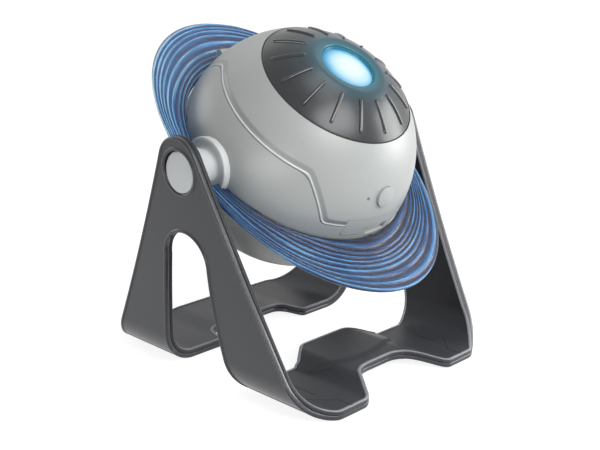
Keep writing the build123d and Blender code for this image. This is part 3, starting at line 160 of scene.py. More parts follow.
def place_effect(tree, group, **values):
    node = tree.nodes.new("ShaderNodeGroup")
    node.node_tree = group
    for key, value in values.items():
        node.inputs[key].default_value = value
    return node.outputs


def make_moulded_grain():
    """Fine grain of a moulded or sprayed surface, with its slow drift and its specks."""
    group, take, give = new_effect(
        "moulded grain", [("Grain", 2000.0), ("Drift", 20.0), ("Specks", 1200.0)],
        ["Height", "Drift", "Specks"])
    here = put(group, "TexCoord").outputs["Object"]
    grain = put(group, "TexNoise", {"Vector": here, "Scale": take["Grain"], "Detail": 2.0, "Roughness": 0.6})
    drift = put(group, "TexNoise", {"Vector": here, "Scale": take["Drift"], "Detail": 3.0, "Roughness": 0.5})
    speck = put(group, "TexNoise", {"Vector": here, "Scale": take["Specks"], "Detail": 1.0, "Roughness": 0.4})
    group.links.new(grain.outputs["Fac"], give["Height"])
    group.links.new(spread(group, drift.outputs["Fac"], 0.3, 0.7), give["Drift"])
    group.links.new(spread(group, speck.outputs["Fac"], 0.55, 0.8), give["Specks"])
    return group


def make_rubbed_and_highlit_edges():
    """Where handling has polished the edges and where a painted highlight lies along them: the convex parts of
    the mesh, broken up by noise.
    """
    group, take, give = new_effect(
        "rubbed and highlit edges", [("From", 0.52), ("To", 0.62), ("Breakup", 120.0)], ["Mask"])
    convex = put(group, "NewGeometry").outputs["Pointiness"]
    edge = put(group, "MapRange", {0: convex, 1: take["From"], 2: take["To"]})
    here = put(group, "TexCoord").outputs["Object"]
    patchy = put(group, "TexNoise", {"Vector": here, "Scale": take["Breakup"], "Detail": 4.0})
    wear_and_highlight = spread(group, patchy.outputs["Fac"], 0.35, 0.65, 0.55, 1.0)
    group.links.new(sums(group, "MULTIPLY", edge.outputs[0], wear_and_highlight, clamp=True), give["Mask"])
    return group


def make_hairlines():
    """Fine scratches that run every way."""
    group, take, give = new_effect(
        "hairlines", [("Scale", 60.0), ("Thinness", 0.02)], ["Mask"])
    here = put(group, "TexCoord").outputs["Object"]
    masks = []
    ways = [((0.3, 0.2, 0.9), (1, 12, 1)), ((1.1, 0.5, 2.1), (1, 1, 14)), ((0.4, 1.9, 0.2), (13, 1, 1))]
    for turn, stretch in ways:
        turned = put(group, "Mapping", {"Vector": here, "Rotation": turn, "Scale": stretch}).outputs[0]
        cells = put(group, "TexVoronoi", {"Vector": turned, "Scale": take["Scale"]}, feature="DISTANCE_TO_EDGE")
        line = put(group, "MapRange", {0: cells.outputs["Distance"], 1: 0.0, 2: take["Thinness"],
                                       3: 1.0, 4: 0.0})
        fade = put(group, "TexNoise", {"Vector": here, "Scale": 45.0})
        masks.append(times(group, line.outputs[0], spread(group, fade.outputs["Fac"], 0.55, 0.7)))
    both = larger(group, masks[0], masks[1])
    group.links.new(larger(group, both, masks[2]), give["Mask"])
    return group


GRAIN = make_moulded_grain()
RUBBED_AND_HIGHLIT = make_rubbed_and_highlit_edges()
HAIRLINES = make_hairlines()


def new_finish(name):
    finish = bpy.data.materials.new(name)
    finish.use_nodes = True
    tree = finish.node_tree
    tree.nodes.clear()
    shader = tree.nodes.new("ShaderNodeBsdfPrincipled")
    output = tree.nodes.new("ShaderNodeOutputMaterial")
    tree.links.new(shader.outputs[0], output.inputs[0])
    return finish, tree, shader.inputs


def set_sockets(shader, **values):
    for key, value in values.items():
        shader[key.replace("_", " ")].default_value = value


def bump(tree, shader, height, distance):
    normal = put(tree, "Bump", {"Height": height, "Distance": distance, "Strength": 1.0}).outputs[0]
    tree.links.new(normal, shader["Normal"])


def moulded_plastic(name, light, dark, rough=(0.4, 0.5), grain=1800.0, grain_depth=0.00004, speck_colour=None,
                    speck_share=0.25, wear_and_highlight=None, scratches=0.0, **constants):
    """Moulded or sprayed plastic: drifting tone, specks, fine grain, edges made lighter as polish and painted
    highlight, and a few hairlines.
    """
    finish, tree, shader = new_finish(name)
    surface = place_effect(tree, GRAIN, Grain=grain, Drift=14.0, Specks=grain * 0.7)
    colour = blend_colour(tree, surface["Drift"], linear(*light), linear(*dark))
    if speck_colour:
        share = times(tree, surface["Specks"], speck_share)
        colour = blend_colour(tree, share, colour, linear(*speck_colour))
    roughness = spread(tree, surface["Drift"], 0.0, 1.0, rough[0], rough[1])
    if wear_and_highlight:
        # convex edges lighter: wear, and a painted highlight
        edges = place_effect(tree, RUBBED_AND_HIGHLIT)
        colour = blend_colour(tree, times(tree, edges["Mask"], wear_and_highlight[1]), colour, linear(*wear_and_highlight[0]))
        roughness = minus(tree, roughness, times(tree, edges["Mask"], 0.12))
    height = surface["Height"]
    if scratches:
        lines = place_effect(tree, HAIRLINES)
        roughness = plus(tree, roughness, times(tree, lines["Mask"], scratches))
        height = minus(tree, height, times(tree, lines["Mask"], 0.6))
    tree.links.new(colour, shader["Base Color"])
    tree.links.new(roughness, shader["Roughness"])
    bump(tree, shader, height, grain_depth)
    set_sockets(shader, **constants)
    return finish


# ---------------------------------------------------------------- finishes
def ball_coordinates(tree):
    """Object coordinates about the ball's centre, lens upwards, in metres."""
    here = put(tree, "TexCoord").outputs["Object"]
    middle = (0.0, 0.0, PIVOT_HEIGHT * MM)
    centred = put(tree, "VectorMath", {0: here, 1: middle}, operation="SUBTRACT").outputs[0]
    return put(tree, "Mapping", {"Vector": centred, "Rotation": (-TILT, 0, 0)}).outputs[0]


def off_lens_axis(tree, aside=0.0, up=0.0):
    """Distance from the lens's axis, or from a line beside it, in metres."""
    x, v = put(tree, "SeparateXYZ", {0: ball_coordinates(tree)}).outputs[:2]
    flat = put(tree, "CombineXYZ", {0: minus(tree, x, aside), 1: minus(tree, v, up)}).outputs[0]
    return put(tree, "VectorMath", {0: flat}, operation="LENGTH").outputs["Value"]


LIT_RADIUS = 0.0168        # metres from the lens's axis to the edge of its light
GLOW_REACH = 0.040         # and to the end of the glow on the dome


def make_silver_shell(name, seam=False):
    """Sprayed silver: pale grey with a fine metallic fleck; the cover's has its moulded seam band, with painted
    shade in the band and a painted highlight on the seam's bead.
    """
    finish, tree, shader = new_finish(name)
    surface = place_effect(tree, GRAIN, Grain=2600.0, Drift=11.0, Specks=2100.0)
    colour = blend_colour(tree, surface["Drift"], linear(174, 177, 175), linear(166, 169, 167))
    colour = blend_colour(tree, times(tree, surface["Specks"], 0.18), colour, linear(206, 208, 208))
    lines = place_effect(tree, HAIRLINES, Scale=38.0, Thinness=0.01)
    roughness = spread(tree, surface["Specks"], 0.0, 1.0, 0.42, 0.34)
    roughness = plus(tree, roughness, times(tree, lines["Mask"], 0.08))
    height = times(tree, surface["Height"], 0.00002)
    if seam:
        mm = put(tree, "VectorMath", {0: ball_coordinates(tree), "Scale": 1000.0}, operation="SCALE").outputs[0]
        x, v, h = put(tree, "SeparateXYZ", {0: mm}).outputs
        side = sums(tree, "ABSOLUTE", x)
        above_side = minus(tree, h, 34.7)
        across = times(tree, minus(tree, side, 49.0), -24.2 / 26.58)
        slope = plus(tree, across, times(tree, above_side, 11.0 / 26.58))
        above_bib = minus(tree, h, 10.5)
        bib = sums(tree, "SMOOTH_MIN", slope, above_bib, 3.0)
        inside = sums(tree, "SMOOTH_MAX", above_side, bib, 3.0)
        bead = minus(tree, spread(tree, inside, 0.2, 0.5, smooth=True),
                    spread(tree, inside, 0.8, 1.5, smooth=True))
        rise = spread(tree, inside, 1.2, 4.4, smooth=True)
        band = minus(tree, spread(tree, inside, 1.0, 1.4, smooth=True),
                    spread(tree, inside, 3.6, 4.6, smooth=True))
        profile = plus(tree, times(tree, bead, 0.0004), times(tree, rise, 0.0007))
        height = plus(tree, height, profile)
        # painted shade in the seam band, and below a painted highlight on its bead
        colour = blend_colour(tree, times(tree, band, 0.35), colour, linear(120, 122, 122))
        colour = blend_colour(tree, times(tree, bead, 0.8), colour, linear(226, 228, 228))
    tree.links.new(colour, shader["Base Color"])
    tree.links.new(roughness, shader["Roughness"])
    bump(tree, shader, height, 1.0)
    set_sockets(shader, Metallic=0.12, Specular_IOR_Level=0.45)
    return finish


def make_black_dome():
    """Black satin lacquer with a painted teal glow round the lens, given as emission."""
    finish, tree, shader = new_finish("black dome lacquer")
    surface = place_effect(tree, GRAIN, Grain=3000.0, Drift=16.0, Specks=1800.0)
    colour = blend_colour(tree, surface["Drift"], linear(36, 39, 42), linear(30, 33, 36))
    colour = blend_colour(tree, times(tree, surface["Specks"], 0.12), colour, linear(80, 84, 88))
    # painted light: a teal glow round the lens, as emission on the dome, which is no lamp
    outward = spread(tree, off_lens_axis(tree), LIT_RADIUS, GLOW_REACH)
    glow = ramp(tree, outward, [
        (0.0, linear(30, 118, 136)), (0.12, linear(20, 96, 112)), (0.30, linear(12, 70, 84)),
        (0.58, linear(5, 34, 42)), (1.0, (0, 0, 0, 1))])
    uneven = spread(tree, surface["Drift"], 0.0, 1.0, 0.85, 1.0)
    glow = blend_colour(tree, uneven, (0, 0, 0, 1), glow)
    tree.links.new(colour, shader["Base Color"])
    tree.links.new(glow, shader["Emission Color"])
    tree.links.new(spread(tree, surface["Drift"], 0.0, 1.0, 0.27, 0.33), shader["Roughness"])
    bump(tree, shader, surface["Height"], 0.00002)
    set_sockets(shader, Emission_Strength=1.0, Coat_Weight=0.1, Coat_Roughness=0.2, Specular_IOR_Level=0.42)
    return finish


def make_lit_lens():
    """Front lens with the lamp on: white in the middle, cyan at its rim."""
    finish, tree, shader = new_finish("lit front lens")
    surface = place_effect(tree, GRAIN, Grain=900.0, Drift=60.0, Specks=700.0)
    radius = off_lens_axis(tree, 0.001, -0.001)
    ripple = times(tree, minus(tree, surface["Drift"], 0.5), 0.0012)
    outward = spread(tree, plus(tree, radius, ripple), 0.0, LIT_RADIUS)
    light = ramp(tree, outward, [
        (0.0, linear(240, 250, 255)), (0.42, linear(224, 243, 254)), (0.68, linear(188, 227, 246)),
        (0.86, linear(112, 188, 224)), (1.0, linear(40, 140, 188))])
    tree.links.new(light, shader["Emission Color"])
    tree.links.new(blend_colour(tree, surface["Specks"], linear(30, 50, 60), linear(40, 60, 70)),
                   shader["Base Color"])
    tree.links.new(spread(tree, surface["Drift"], 0.0, 1.0, 0.05, 0.1), shader["Roughness"])
    bump(tree, shader, surface["Height"], 0.00001)
    set_sockets(shader, Emission_Strength=1.0, Coat_Weight=0.2, Coat_Roughness=0.05)
    return finish


def make_blue_ring():
    """Glossy blue strands: painted shade in the grooves, painted highlight on the crests and along thin glint
    lines, painted shade towards the inner edge and painted light towards the rear left.
    """
    finish, tree, shader = new_finish("blue ring strands")
    along = put(tree, "UVMap", uv_map="strands").outputs[0]
    crest = put(tree, "Attribute", attribute_name="crest").outputs["Fac"]
    apart = put(tree, "SeparateXYZ", {0: along}).outputs
    broad_place = put(tree, "Mapping", {"Vector": along, "Scale": (1.8, 20.0, 1.0)}).outputs[0]
    broad = put(tree, "TexNoise", {"Vector": broad_place, "Detail": 3.0, "Roughness": 0.6}).outputs["Fac"]
    fine_place = put(tree, "Mapping", {"Vector": along, "Scale": (2.6, 100.0, 1.0)}).outputs[0]
    fine = put(tree, "TexNoise", {"Vector": fine_place, "Detail": 2.0, "Roughness": 0.5}).outputs["Fac"]
    glint_place = put(tree, "Mapping", {"Vector": along, "Scale": (1.3, 44.0, 1.0)}).outputs[0]
    glint_noise = put(tree, "TexNoise", {"Vector": glint_place, "Detail": 1.0, "Roughness": 0.4}).outputs["Fac"]
    off_glint = sums(tree, "ABSOLUTE", minus(tree, glint_noise, 0.5))
    glint_lines = spread(tree, off_glint, 0.0, 0.022, 1.0, 0.0)
    # painted highlight on the crests and painted shade in the grooves, from the relief
    level = spread(tree, crest, 0.1, 0.9, -0.04, 0.62, smooth=True)
    level = plus(tree, level, spread(tree, broad, 0.3, 0.7, -0.24, 0.20))
    level = plus(tree, level, spread(tree, fine, 0.3, 0.7, -0.10, 0.12))
    # painted shade: darker towards the inner edge, by the ball
    level = plus(tree, level, spread(tree, apart[1], 0.0, 0.6, -0.20, 0.08))
    # painted light: lighter towards the rear left
    level = plus(tree, level, spread(tree, apart[0], 0.35, 0.7, 0.0, 0.30))
    # painted highlight: thin pale glint lines along the strands
    level = plus(tree, level, times(tree, glint_lines, spread(tree, broad, 0.4, 0.6, 0.05, 0.32)))
    colour = ramp(tree, level, [
        (0.05, linear(1, 16, 46)), (0.22, linear(8, 46, 98)), (0.40, linear(26, 86, 144)),
        (0.58, linear(58, 130, 186)), (0.76, linear(112, 178, 222)), (0.92, linear(182, 224, 246))])
    surface = place_effect(tree, GRAIN, Grain=900.0, Drift=18.0, Specks=700.0)
    colour = blend_colour(tree, times(tree, surface["Drift"], 0.12), colour, linear(24, 72, 128))
    tree.links.new(colour, shader["Base Color"])
    tree.links.new(spread(tree, fine, 0.3, 0.7, 0.12, 0.24), shader["Roughness"])
    bump(tree, shader, plus(tree, fine, times(tree, broad, 1.3)), 0.00018)
    set_sockets(shader, Coat_Weight=0.3, Coat_Roughness=0.08, Specular_IOR_Level=0.4)
    return finish


def make_stand_finish(name, field, arm, border, rough, border_rough, shine, lines=False):
    """Charcoal moulding: a satin field in a border of another gloss, with guide lines on the liner's feet; the
    arms get a darker colour than the feet, as painted shade.
    """
    finish, tree, shader = new_finish(name)
    surface = place_effect(tree, GRAIN, Grain=2200.0, Drift=9.0, Specks=1500.0)
    edges = place_effect(tree, RUBBED_AND_HIGHLIT, From=0.53, To=0.66, Breakup=90.0)
    on_border = put(tree, "Attribute", attribute_name="border").outputs["Fac"]
    arm_shade = put(tree, "Attribute", attribute_name="arm").outputs["Fac"]
    darker = tuple(channel * 0.9 for channel in field)
    lighter = tuple(channel + 26 for channel in field)
    colour = blend_colour(tree, surface["Drift"], linear(*field), linear(*darker))
    # painted shade: the arms darker than the feet
    colour = blend_colour(tree, arm_shade, colour, linear(*arm))
    colour = blend_colour(tree, times(tree, surface["Specks"], 0.16), colour, linear(*lighter))
    # on the liner the border colour is pale: a painted highlight on the bead
    colour = blend_colour(tree, on_border, colour, linear(*border))
    # convex edges lighter: wear, and a painted highlight along the rims
    colour = blend_colour(tree, times(tree, edges["Mask"], 0.35), colour, linear(112, 114, 118))
    scratch = place_effect(tree, HAIRLINES, Scale=30.0, Thinness=0.012)
    roughness = spread(tree, surface["Drift"], 0.0, 1.0, rough - 0.04, rough + 0.04)
    roughness = plus(tree, roughness, times(tree, scratch["Mask"], 0.1))
    roughness = plus(tree, roughness, times(tree, on_border, border_rough - rough))
    height = times(tree, surface["Height"], 0.00004)
    if lines:
        here = put(tree, "TexCoord").outputs["Object"]
        x, y, z = put(tree, "SeparateXYZ", {0: here}).outputs
        side = sums(tree, "ABSOLUTE", x)
        depth = None
        for x0, y0, x1, y1 in ((57, 55, 57, 71), (65, 72, 52, 85), (52, 85, 52, 95)):
            # distance from the line between two points, on the feet
            span = hypot(x1 - x0, y1 - y0)
            ux, uy = (x1 - x0) / span, (y1 - y0) / span
            dx = minus(tree, side, x0 * MM)
            dy = minus(tree, times(tree, y, -1.0), y0 * MM)
            run = plus(tree, times(tree, dx, ux), times(tree, dy, uy))
            off = sums(tree, "ABSOLUTE", minus(tree, times(tree, dx, uy),
                                              times(tree, dy, ux)))
            past = minus(tree, sums(tree, "ABSOLUTE", minus(tree, run, span * MM / 2)),
                        span * MM / 2)
            near = larger(tree, off, past)
            groove = spread(tree, near, 0.0003, 0.0008, 1.0, 0.0, smooth=True)
            depth = groove if depth is None else larger(tree, depth, groove)
        height = minus(tree, height, times(tree, depth, 0.0003))
        colour = blend_colour(tree, times(tree, depth, 0.5), colour, linear(18, 19, 20))
    tree.links.new(colour, shader["Base Color"])
    tree.links.new(roughness, shader["Roughness"])
    bump(tree, shader, height, 1.0)
    set_sockets(shader, Specular_IOR_Level=shine)
    return finish


def make_metal(name, light, dark, rough=(0.22, 0.38), stretch=(1, 1, 30), depth=0.00003):
    """Drawn or rolled metal with fine lines one way and a little tarnish."""
    finish, tree, shader = new_finish(name)
    here = put(tree, "TexCoord").outputs["Object"]
    drawn = put(tree, "Mapping", {"Vector": here, "Scale": stretch}).outputs[0]
    lines = put(tree, "TexNoise", {"Vector": drawn, "Scale": 220.0, "Detail": 3.0}).outputs["Fac"]
    tarnish = put(tree, "TexNoise", {"Vector": here, "Scale": 70.0, "Detail": 4.0}).outputs["Fac"]
    colour = blend_colour(tree, spread(tree, tarnish, 0.35, 0.7), linear(*light), linear(*dark))
    tree.links.new(colour, shader["Base Color"])
    tree.links.new(spread(tree, lines, 0.3, 0.7, rough[0], rough[1]), shader["Roughness"])
    bump(tree, shader, lines, depth)
    set_sockets(shader, Metallic=1.0)
    return finish


def make_circuit_board():
    """Green solder mask with copper tracks under it and tinned pads."""
    finish, tree, shader = new_finish("circuit board")
    here = ball_coordinates(tree)
    cells = put(tree, "TexBrick", {"Vector": here, "Scale": 90.0, "Mortar Size": 0.012, "Mortar Smooth": 0.2,
                                   "Color1": linear(22, 74, 46), "Color2": linear(28, 84, 52),
                                   "Mortar": linear(44, 112, 66)})
    dots = put(tree, "TexVoronoi", {"Vector": here, "Scale": 160.0, "Randomness": 0.6})
    pad = spread(tree, dots.outputs["Distance"], 0.10, 0.14, 1.0, 0.0)
    chance = put(tree, "SeparateColor", {0: dots.outputs["Color"]}).outputs[0]
    pad = times(tree, pad, spread(tree, chance, 0.62, 0.64))
    colour = blend_colour(tree, pad, cells.outputs["Color"], linear(196, 192, 178))
    tree.links.new(colour, shader["Base Color"])
    tree.links.new(pad, shader["Metallic"])
    tree.links.new(spread(tree, pad, 0.0, 1.0, 0.32, 0.22), shader["Roughness"])
    bump(tree, shader, cells.outputs["Fac"], 0.00003)
    return finish


def make_star_film():
    """Dark film with clear pinholes of different sizes, as a map of the sky has."""
    finish, tree, shader = new_finish("star film")
    here = ball_coordinates(tree)
    light = None
    for scale, size, chance_from in ((260.0, 0.20, 0.72), (520.0, 0.16, 0.60), (900.0, 0.2, 0.5)):
        stars = put(tree, "TexVoronoi", {"Vector": here, "Scale": scale})
        chance = put(tree, "SeparateColor", {0: stars.outputs["Color"]}).outputs[1]
        star = times(tree, spread(tree, stars.outputs["Distance"], size * 0.5, size, 1.0, 0.0),
                    spread(tree, chance, chance_from, chance_from + 0.02))
        light = star if light is None else larger(tree, light, star)
    drift = put(tree, "TexNoise", {"Vector": here, "Scale": 50.0, "Detail": 5.0}).outputs["Fac"]
    base = blend_colour(tree, spread(tree, drift, 0.4, 0.7), linear(12, 16, 34), linear(26, 34, 66))
    tree.links.new(blend_colour(tree, light, base, linear(236, 240, 246)), shader["Base Color"])
    tree.links.new(blend_colour(tree, light, (0, 0, 0, 1), linear(150, 190, 220)), shader["Emission Color"])
    tree.links.new(spread(tree, drift, 0.3, 0.7, 0.12, 0.22), shader["Roughness"])
    bump(tree, shader, light, -0.00005)
    set_sockets(shader, Emission_Strength=0.4)
    return finish


def make_clear_plastic():
    finish, tree, shader = new_finish("clear acrylic")
    surface = place_effect(tree, GRAIN, Grain=700.0, Drift=40.0, Specks=600.0)
    tree.links.new(blend_colour(tree, surface["Drift"], linear(224, 238, 242), linear(206, 228, 236)),
                   shader["Base Color"])
    tree.links.new(spread(tree, surface["Drift"], 0.0, 1.0, 0.03, 0.08), shader["Roughness"])
    bump(tree, shader, surface["Height"], 0.00001)
    set_sockets(shader, Transmission_Weight=0.9, IOR=1.49)
    return finish


def make_lamp_chip():
    finish, tree, shader = new_finish("lamp chip")
    surface = place_effect(tree, GRAIN, Grain=1500.0, Drift=400.0, Specks=900.0)
    tree.links.new(blend_colour(tree, surface["Drift"], linear(240, 214, 90), linear(226, 190, 60)),
                   shader["Base Color"])
    tree.links.new(blend_colour(tree, surface["Drift"], linear(200, 232, 250), linear(180, 220, 244)),
                   shader["Emission Color"])
    tree.links.new(spread(tree, surface["Specks"], 0.0, 1.0, 0.3, 0.4), shader["Roughness"])
    bump(tree, shader, surface["Height"], 0.00003)
    set_sockets(shader, Emission_Strength=1.5)
    return finish


def make_battery_wrap():
    """Cell sleeves: dark with a coppery band near one end, printed on shrunk film."""
    finish, tree, shader = new_finish("cell sleeve")
    here = ball_coordinates(tree)
    x, v, h = put(tree, "SeparateXYZ", {0: here}).outputs
    surface = place_effect(tree, GRAIN, Grain=1000.0, Drift=40.0, Specks=700.0)
    band = spread(tree, v, 0.0085, 0.009)
    dark = blend_colour(tree, surface["Drift"], linear(26, 28, 32), linear(38, 40, 46))
    copper = blend_colour(tree, surface["Drift"], linear(186, 128, 74), linear(160, 104, 60))
    tree.links.new(blend_colour(tree, band, dark, copper), shader["Base Color"])
    tree.links.new(spread(tree, surface["Specks"], 0.0, 1.0, 0.24, 0.34), shader["Roughness"])
    bump(tree, shader, surface["Height"], 0.00004)
    set_sockets(shader, Metallic=0.3, Coat_Weight=0.4, Coat_Roughness=0.1)
    return finish


def make_light_pipe():
    finish, tree, shader = new_finish("status light pipe")
    surface = place_effect(tree, GRAIN, Grain=1500.0, Drift=300.0, Specks=900.0)
    tree.links.new(blend_colour(tree, surface["Drift"], linear(120, 124, 126), linear(96, 100, 102)),
                   shader["Base Color"])
    tree.links.new(spread(tree, surface["Specks"], 0.0, 1.0, 0.15, 0.25), shader["Roughness"])
    bump(tree, shader, surface["Height"], 0.00002)
    set_sockets(shader, Coat_Weight=0.5)
    return finish


SILVER_COVER = make_silver_shell("sprayed silver with seam band", seam=True)
BLACK_DOME = make_black_dome()
LIT_LENS = make_lit_lens()
BLUE_RING = make_blue_ring()
# the shell's arm colour, darker than its feet's, is painted shade
SHELL_CHARCOAL = make_stand_finish("stand charcoal", (34, 37, 46), (26, 29, 38), (19, 20, 22), 0.30, 0.22, 0.6)
# the liner's near-black arm colour is painted shade, and its pale border colour is a painted highlight on the
# bead
LINER_CHARCOAL = make_stand_finish("stand charcoal with guide lines", (64, 65, 69), (17, 18, 22),
                                   (150, 153, 158), 0.42, 0.26, 0.32, lines=True)
COLLAR_WHITE = moulded_plastic("collar white", (214, 216, 217), (204, 207, 208), rough=(0.38, 0.46),
                               grain=2400.0, grain_depth=0.00002, wear_and_highlight=((232, 234, 234), 0.5), scratches=0.06)
CAP_GREY = moulded_plastic("cap light grey", (240, 243, 243), (232, 236, 236), rough=(0.36, 0.46), grain=2400.0,
                           grain_depth=0.00003, speck_colour=(236, 238, 238), speck_share=0.2)
BUTTON_SILVER = moulded_plastic("button silver", (178, 181, 181), (168, 171, 171), rough=(0.32, 0.4),
                                grain=2600.0, grain_depth=0.00002, speck_colour=(206, 208, 208),
                                speck_share=0.2, Metallic=0.1)
RIB_BLACK = moulded_plastic("rib gloss black", (18, 20, 22), (13, 14, 16), rough=(0.14, 0.22), grain=2000.0,
                            grain_depth=0.00001, Coat_Weight=0.4, Coat_Roughness=0.1)
INNER_BLACK = moulded_plastic("inner black moulding", (38, 39, 41), (28, 29, 31), rough=(0.5, 0.62),
                              grain=1300.0, grain_depth=0.00008, speck_colour=(60, 61, 63), scratches=0.05)
# painted light: the lens rim's teal glow is emission, though the rim is no lamp
LENS_RIM = moulded_plastic("teal-lit lens rim", (20, 92, 112), (14, 74, 92), rough=(0.2, 0.3), grain=1800.0,
                           grain_depth=0.00001, Emission_Color=linear(16, 92, 112), Emission_Strength=0.7)
FINISHES = {
    "stand_charcoal": SHELL_CHARCOAL,
    "steel": make_metal("zinc-plated steel", (196, 198, 200), (160, 163, 168)),
    "rubber": moulded_plastic("pad rubber", (34, 34, 35), (26, 26, 27), rough=(0.7, 0.85), grain=1200.0,
                              grain_depth=0.00012, speck_colour=(52, 52, 52)),
    "acetal": moulded_plastic("natural acetal", (226, 224, 216), (214, 212, 204), rough=(0.3, 0.4), grain=1600.0,
                              Subsurface_Weight=0.1),
    "silver_shell": make_silver_shell("sprayed silver"),
    "white_collar": COLLAR_WHITE,
    "blue_ring": BLUE_RING,
    "black_dome": BLACK_DOME,
    "light_pipe": make_light_pipe(),
    "black_inner": INNER_BLACK,
    "star_film": make_star_film(),
    "glass": make_clear_plastic(),
    "board": make_circuit_board(),
    "emitter": make_lamp_chip(),
    "aluminium": make_metal("extruded aluminium", (206, 208, 210), (180, 183, 187), rough=(0.28, 0.42)),
    "motor_metal": make_metal("motor can", (188, 190, 192), (150, 153, 158), stretch=(1, 1, 18)),
    "brass": make_metal("brass", (210, 172, 92), (176, 136, 66), stretch=(8, 8, 8)),
    "cell_wrap": make_battery_wrap(),
}


# ---------------------------------------------------------------- mesh helpers
def turn_corner(before, corner, after, radius, steps=5):
    """Points of the round that replaces a corner of an outline."""
    a, p, b = Vector(before), Vector(corner), Vector(after)
    to_a, to_b = (a - p).normalized(), (b - p).normalized()
    angle = to_a.angle(to_b)
    reach = min(radius / tan(angle / 2), (a - p).length * 0.49, (b - p).length * 0.49)
    radius = reach * tan(angle / 2)
    centre = p + (to_a + to_b).normalized() * (radius / sin(angle / 2))
    start, end = p + to_a * reach - centre, p + to_b * reach - centre
    sweep = start.angle(end)
    points = []
    for i in range(steps + 1):
        share = i / steps
        arm = (start * sin((1 - share) * sweep) + end * sin(share * sweep)) / sin(sweep)
        points.append(tuple(centre + arm))
    return points


def rounded(corners, closed=True):
    """Outline through (x, y, radius) corners, each corner rounded."""
    points = []
    count = len(corners)
    for i, (x, y, radius) in enumerate(corners):
        inner = closed or 0 < i < count - 1
        if radius and inner:
            before, after = corners[i - 1][:2], corners[(i + 1) % count][:2]
            points += turn_corner(before, (x, y), after, radius)
        else:
            points.append((x, y))
    return points


def arc(radius, start, end, steps, centre=0.0):
    """Points (radius, height) on a sphere's meridian, by their angles from the pole."""
    points = []
    for i in range(steps + 1):
        angle = start + (end - start) * i / steps
        points.append((radius * sin(angle), centre + radius * cos(angle)))
    return points


def chain(bm, points, closed=True):
    verts = [bm.verts.new(point) for point in points]
    edges = [bm.edges.new(pair) for pair in zip(verts, verts[1:])]
    if closed:
        edges.append(bm.edges.new((verts[-1], verts[0])))
    return verts, edges


def turned(profile, steps=96, closed=True):
    """Solid of revolution about Z from (radius, height) points."""
    bm = bmesh.new()
    verts, edges = chain(bm, [(radius, 0, height) for radius, height in profile], closed)
    bmesh.ops.spin(bm, geom=verts + edges, cent=(0, 0, 0), axis=(0, 0, 1), angle=2 * pi, steps=steps,
                   use_merge=True, use_duplicate=False)
    bmesh.ops.remove_doubles(bm, verts=bm.verts, dist=0.0005)
    return bm


def finish_piece(bm, name, body, finish, stands_for=(), place=None, sharp=35):
    """Puts a mesh drawn in millimetres in its place, gives it its finish and sets it on its body."""
    bmesh.ops.remove_doubles(bm, verts=bm.verts, dist=0.0005)
    bmesh.ops.recalc_face_normals(bm, faces=bm.faces)
    if place is not None:
        bm.transform(place)
    bm.transform(Matrix.Scale(MM, 4))
    mesh = bpy.data.meshes.new(name)
    bm.to_mesh(mesh)
    bm.free()
    mesh.materials.append(finish)
    mesh.shade_smooth()
    mesh.set_sharp_from_angle(angle=radians(sharp))
    piece = bpy.data.objects.new(name, mesh)
    bpy.context.scene.collection.objects.link(piece)
    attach(piece, body)
    if stands_for:
        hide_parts(*stands_for)


# ---------------------------------------------------------------- stand
BEND_TURN = pi / 2 - ARM_LEAN
ARM_FACE_AT_PIVOT = 96.7
PAD_PROUD = 0.6
WALL_FOOT = ARM_FACE_AT_PIVOT - (PIVOT_HEIGHT - PAD_PROUD) * tan(ARM_LEAN)
BEND_START = WALL_FOOT - BEND_RADIUS * tan(BEND_TURN / 2)
BEND_LENGTH = BEND_RADIUS * BEND_TURN
PIVOT_STATION = BEND_LENGTH + (PIVOT_HEIGHT - PAD_PROUD - BEND_RADIUS * (1 - cos(BEND_TURN))) / cos(ARM_LEAN)
ARCH_STATION = PIVOT_STATION - 56.0
LEG_TAPER = 0.455
LEG_LENGTH = PIVOT_STATION - 0.5
LEG_FLARE = (STAND_HALF_DEPTH - 20.9 - LEG_TAPER * LEG_LENGTH) / LEG_LENGTH ** 2
CROWN_RISE = 3.7           # centre of an arm's round top above the tilt axis
FRONT_LIFT = 5.0           # height of the front strip's bridge
REAR_LIFT = 1.5            # height of the rear strip's bridge
BRIDGE_FOOT = 41.0         # half width of a bridge at the floor
BRIDGE_RAMP = 19.0         # length of each of its ramps
PLATEAU_LIFT = 1.3         # height of the raised part on the front bridge
JOINT_BREAK = 0.35         # small bevel where the two skins meet
PANEL_STEPS = [(0.15, 0), (0.6, 0), (0.15, 0.1), (0.2, 0.5), (0.15, 0.6), (0.15, 0.6)]
BEAD_STEPS = [(0.45, 0.0), (0.3, 0.1), (0.3, 0.4), (0.2, 0.5), (0.3, 0.5)]


def ease(share):
    share = min(max(share, 0.0), 1.0)
    return share * share * (3 - 2 * share)


def leg_edge(station):
    down = PIVOT_STATION - station
    return 20.9 + LEG_TAPER * down + LEG_FLARE * down ** 2


def arch_front(station):
    return -16.5 - 18.2 * (max(ARCH_STATION - station, 0) / ARCH_STATION) ** 1.7


def arch_rear(station):
    share = max(ARCH_STATION - station, 0) / ARCH_STATION
    return 20.5 + 11.5 * (1.5 * share - 0.5 * share ** 2)


def both_halves(right):
    """Closed outline from its right half, which starts and ends on the middle line."""
    return right + [(-x, y) for x, y in reversed(right) if abs(x) > 1e-6]


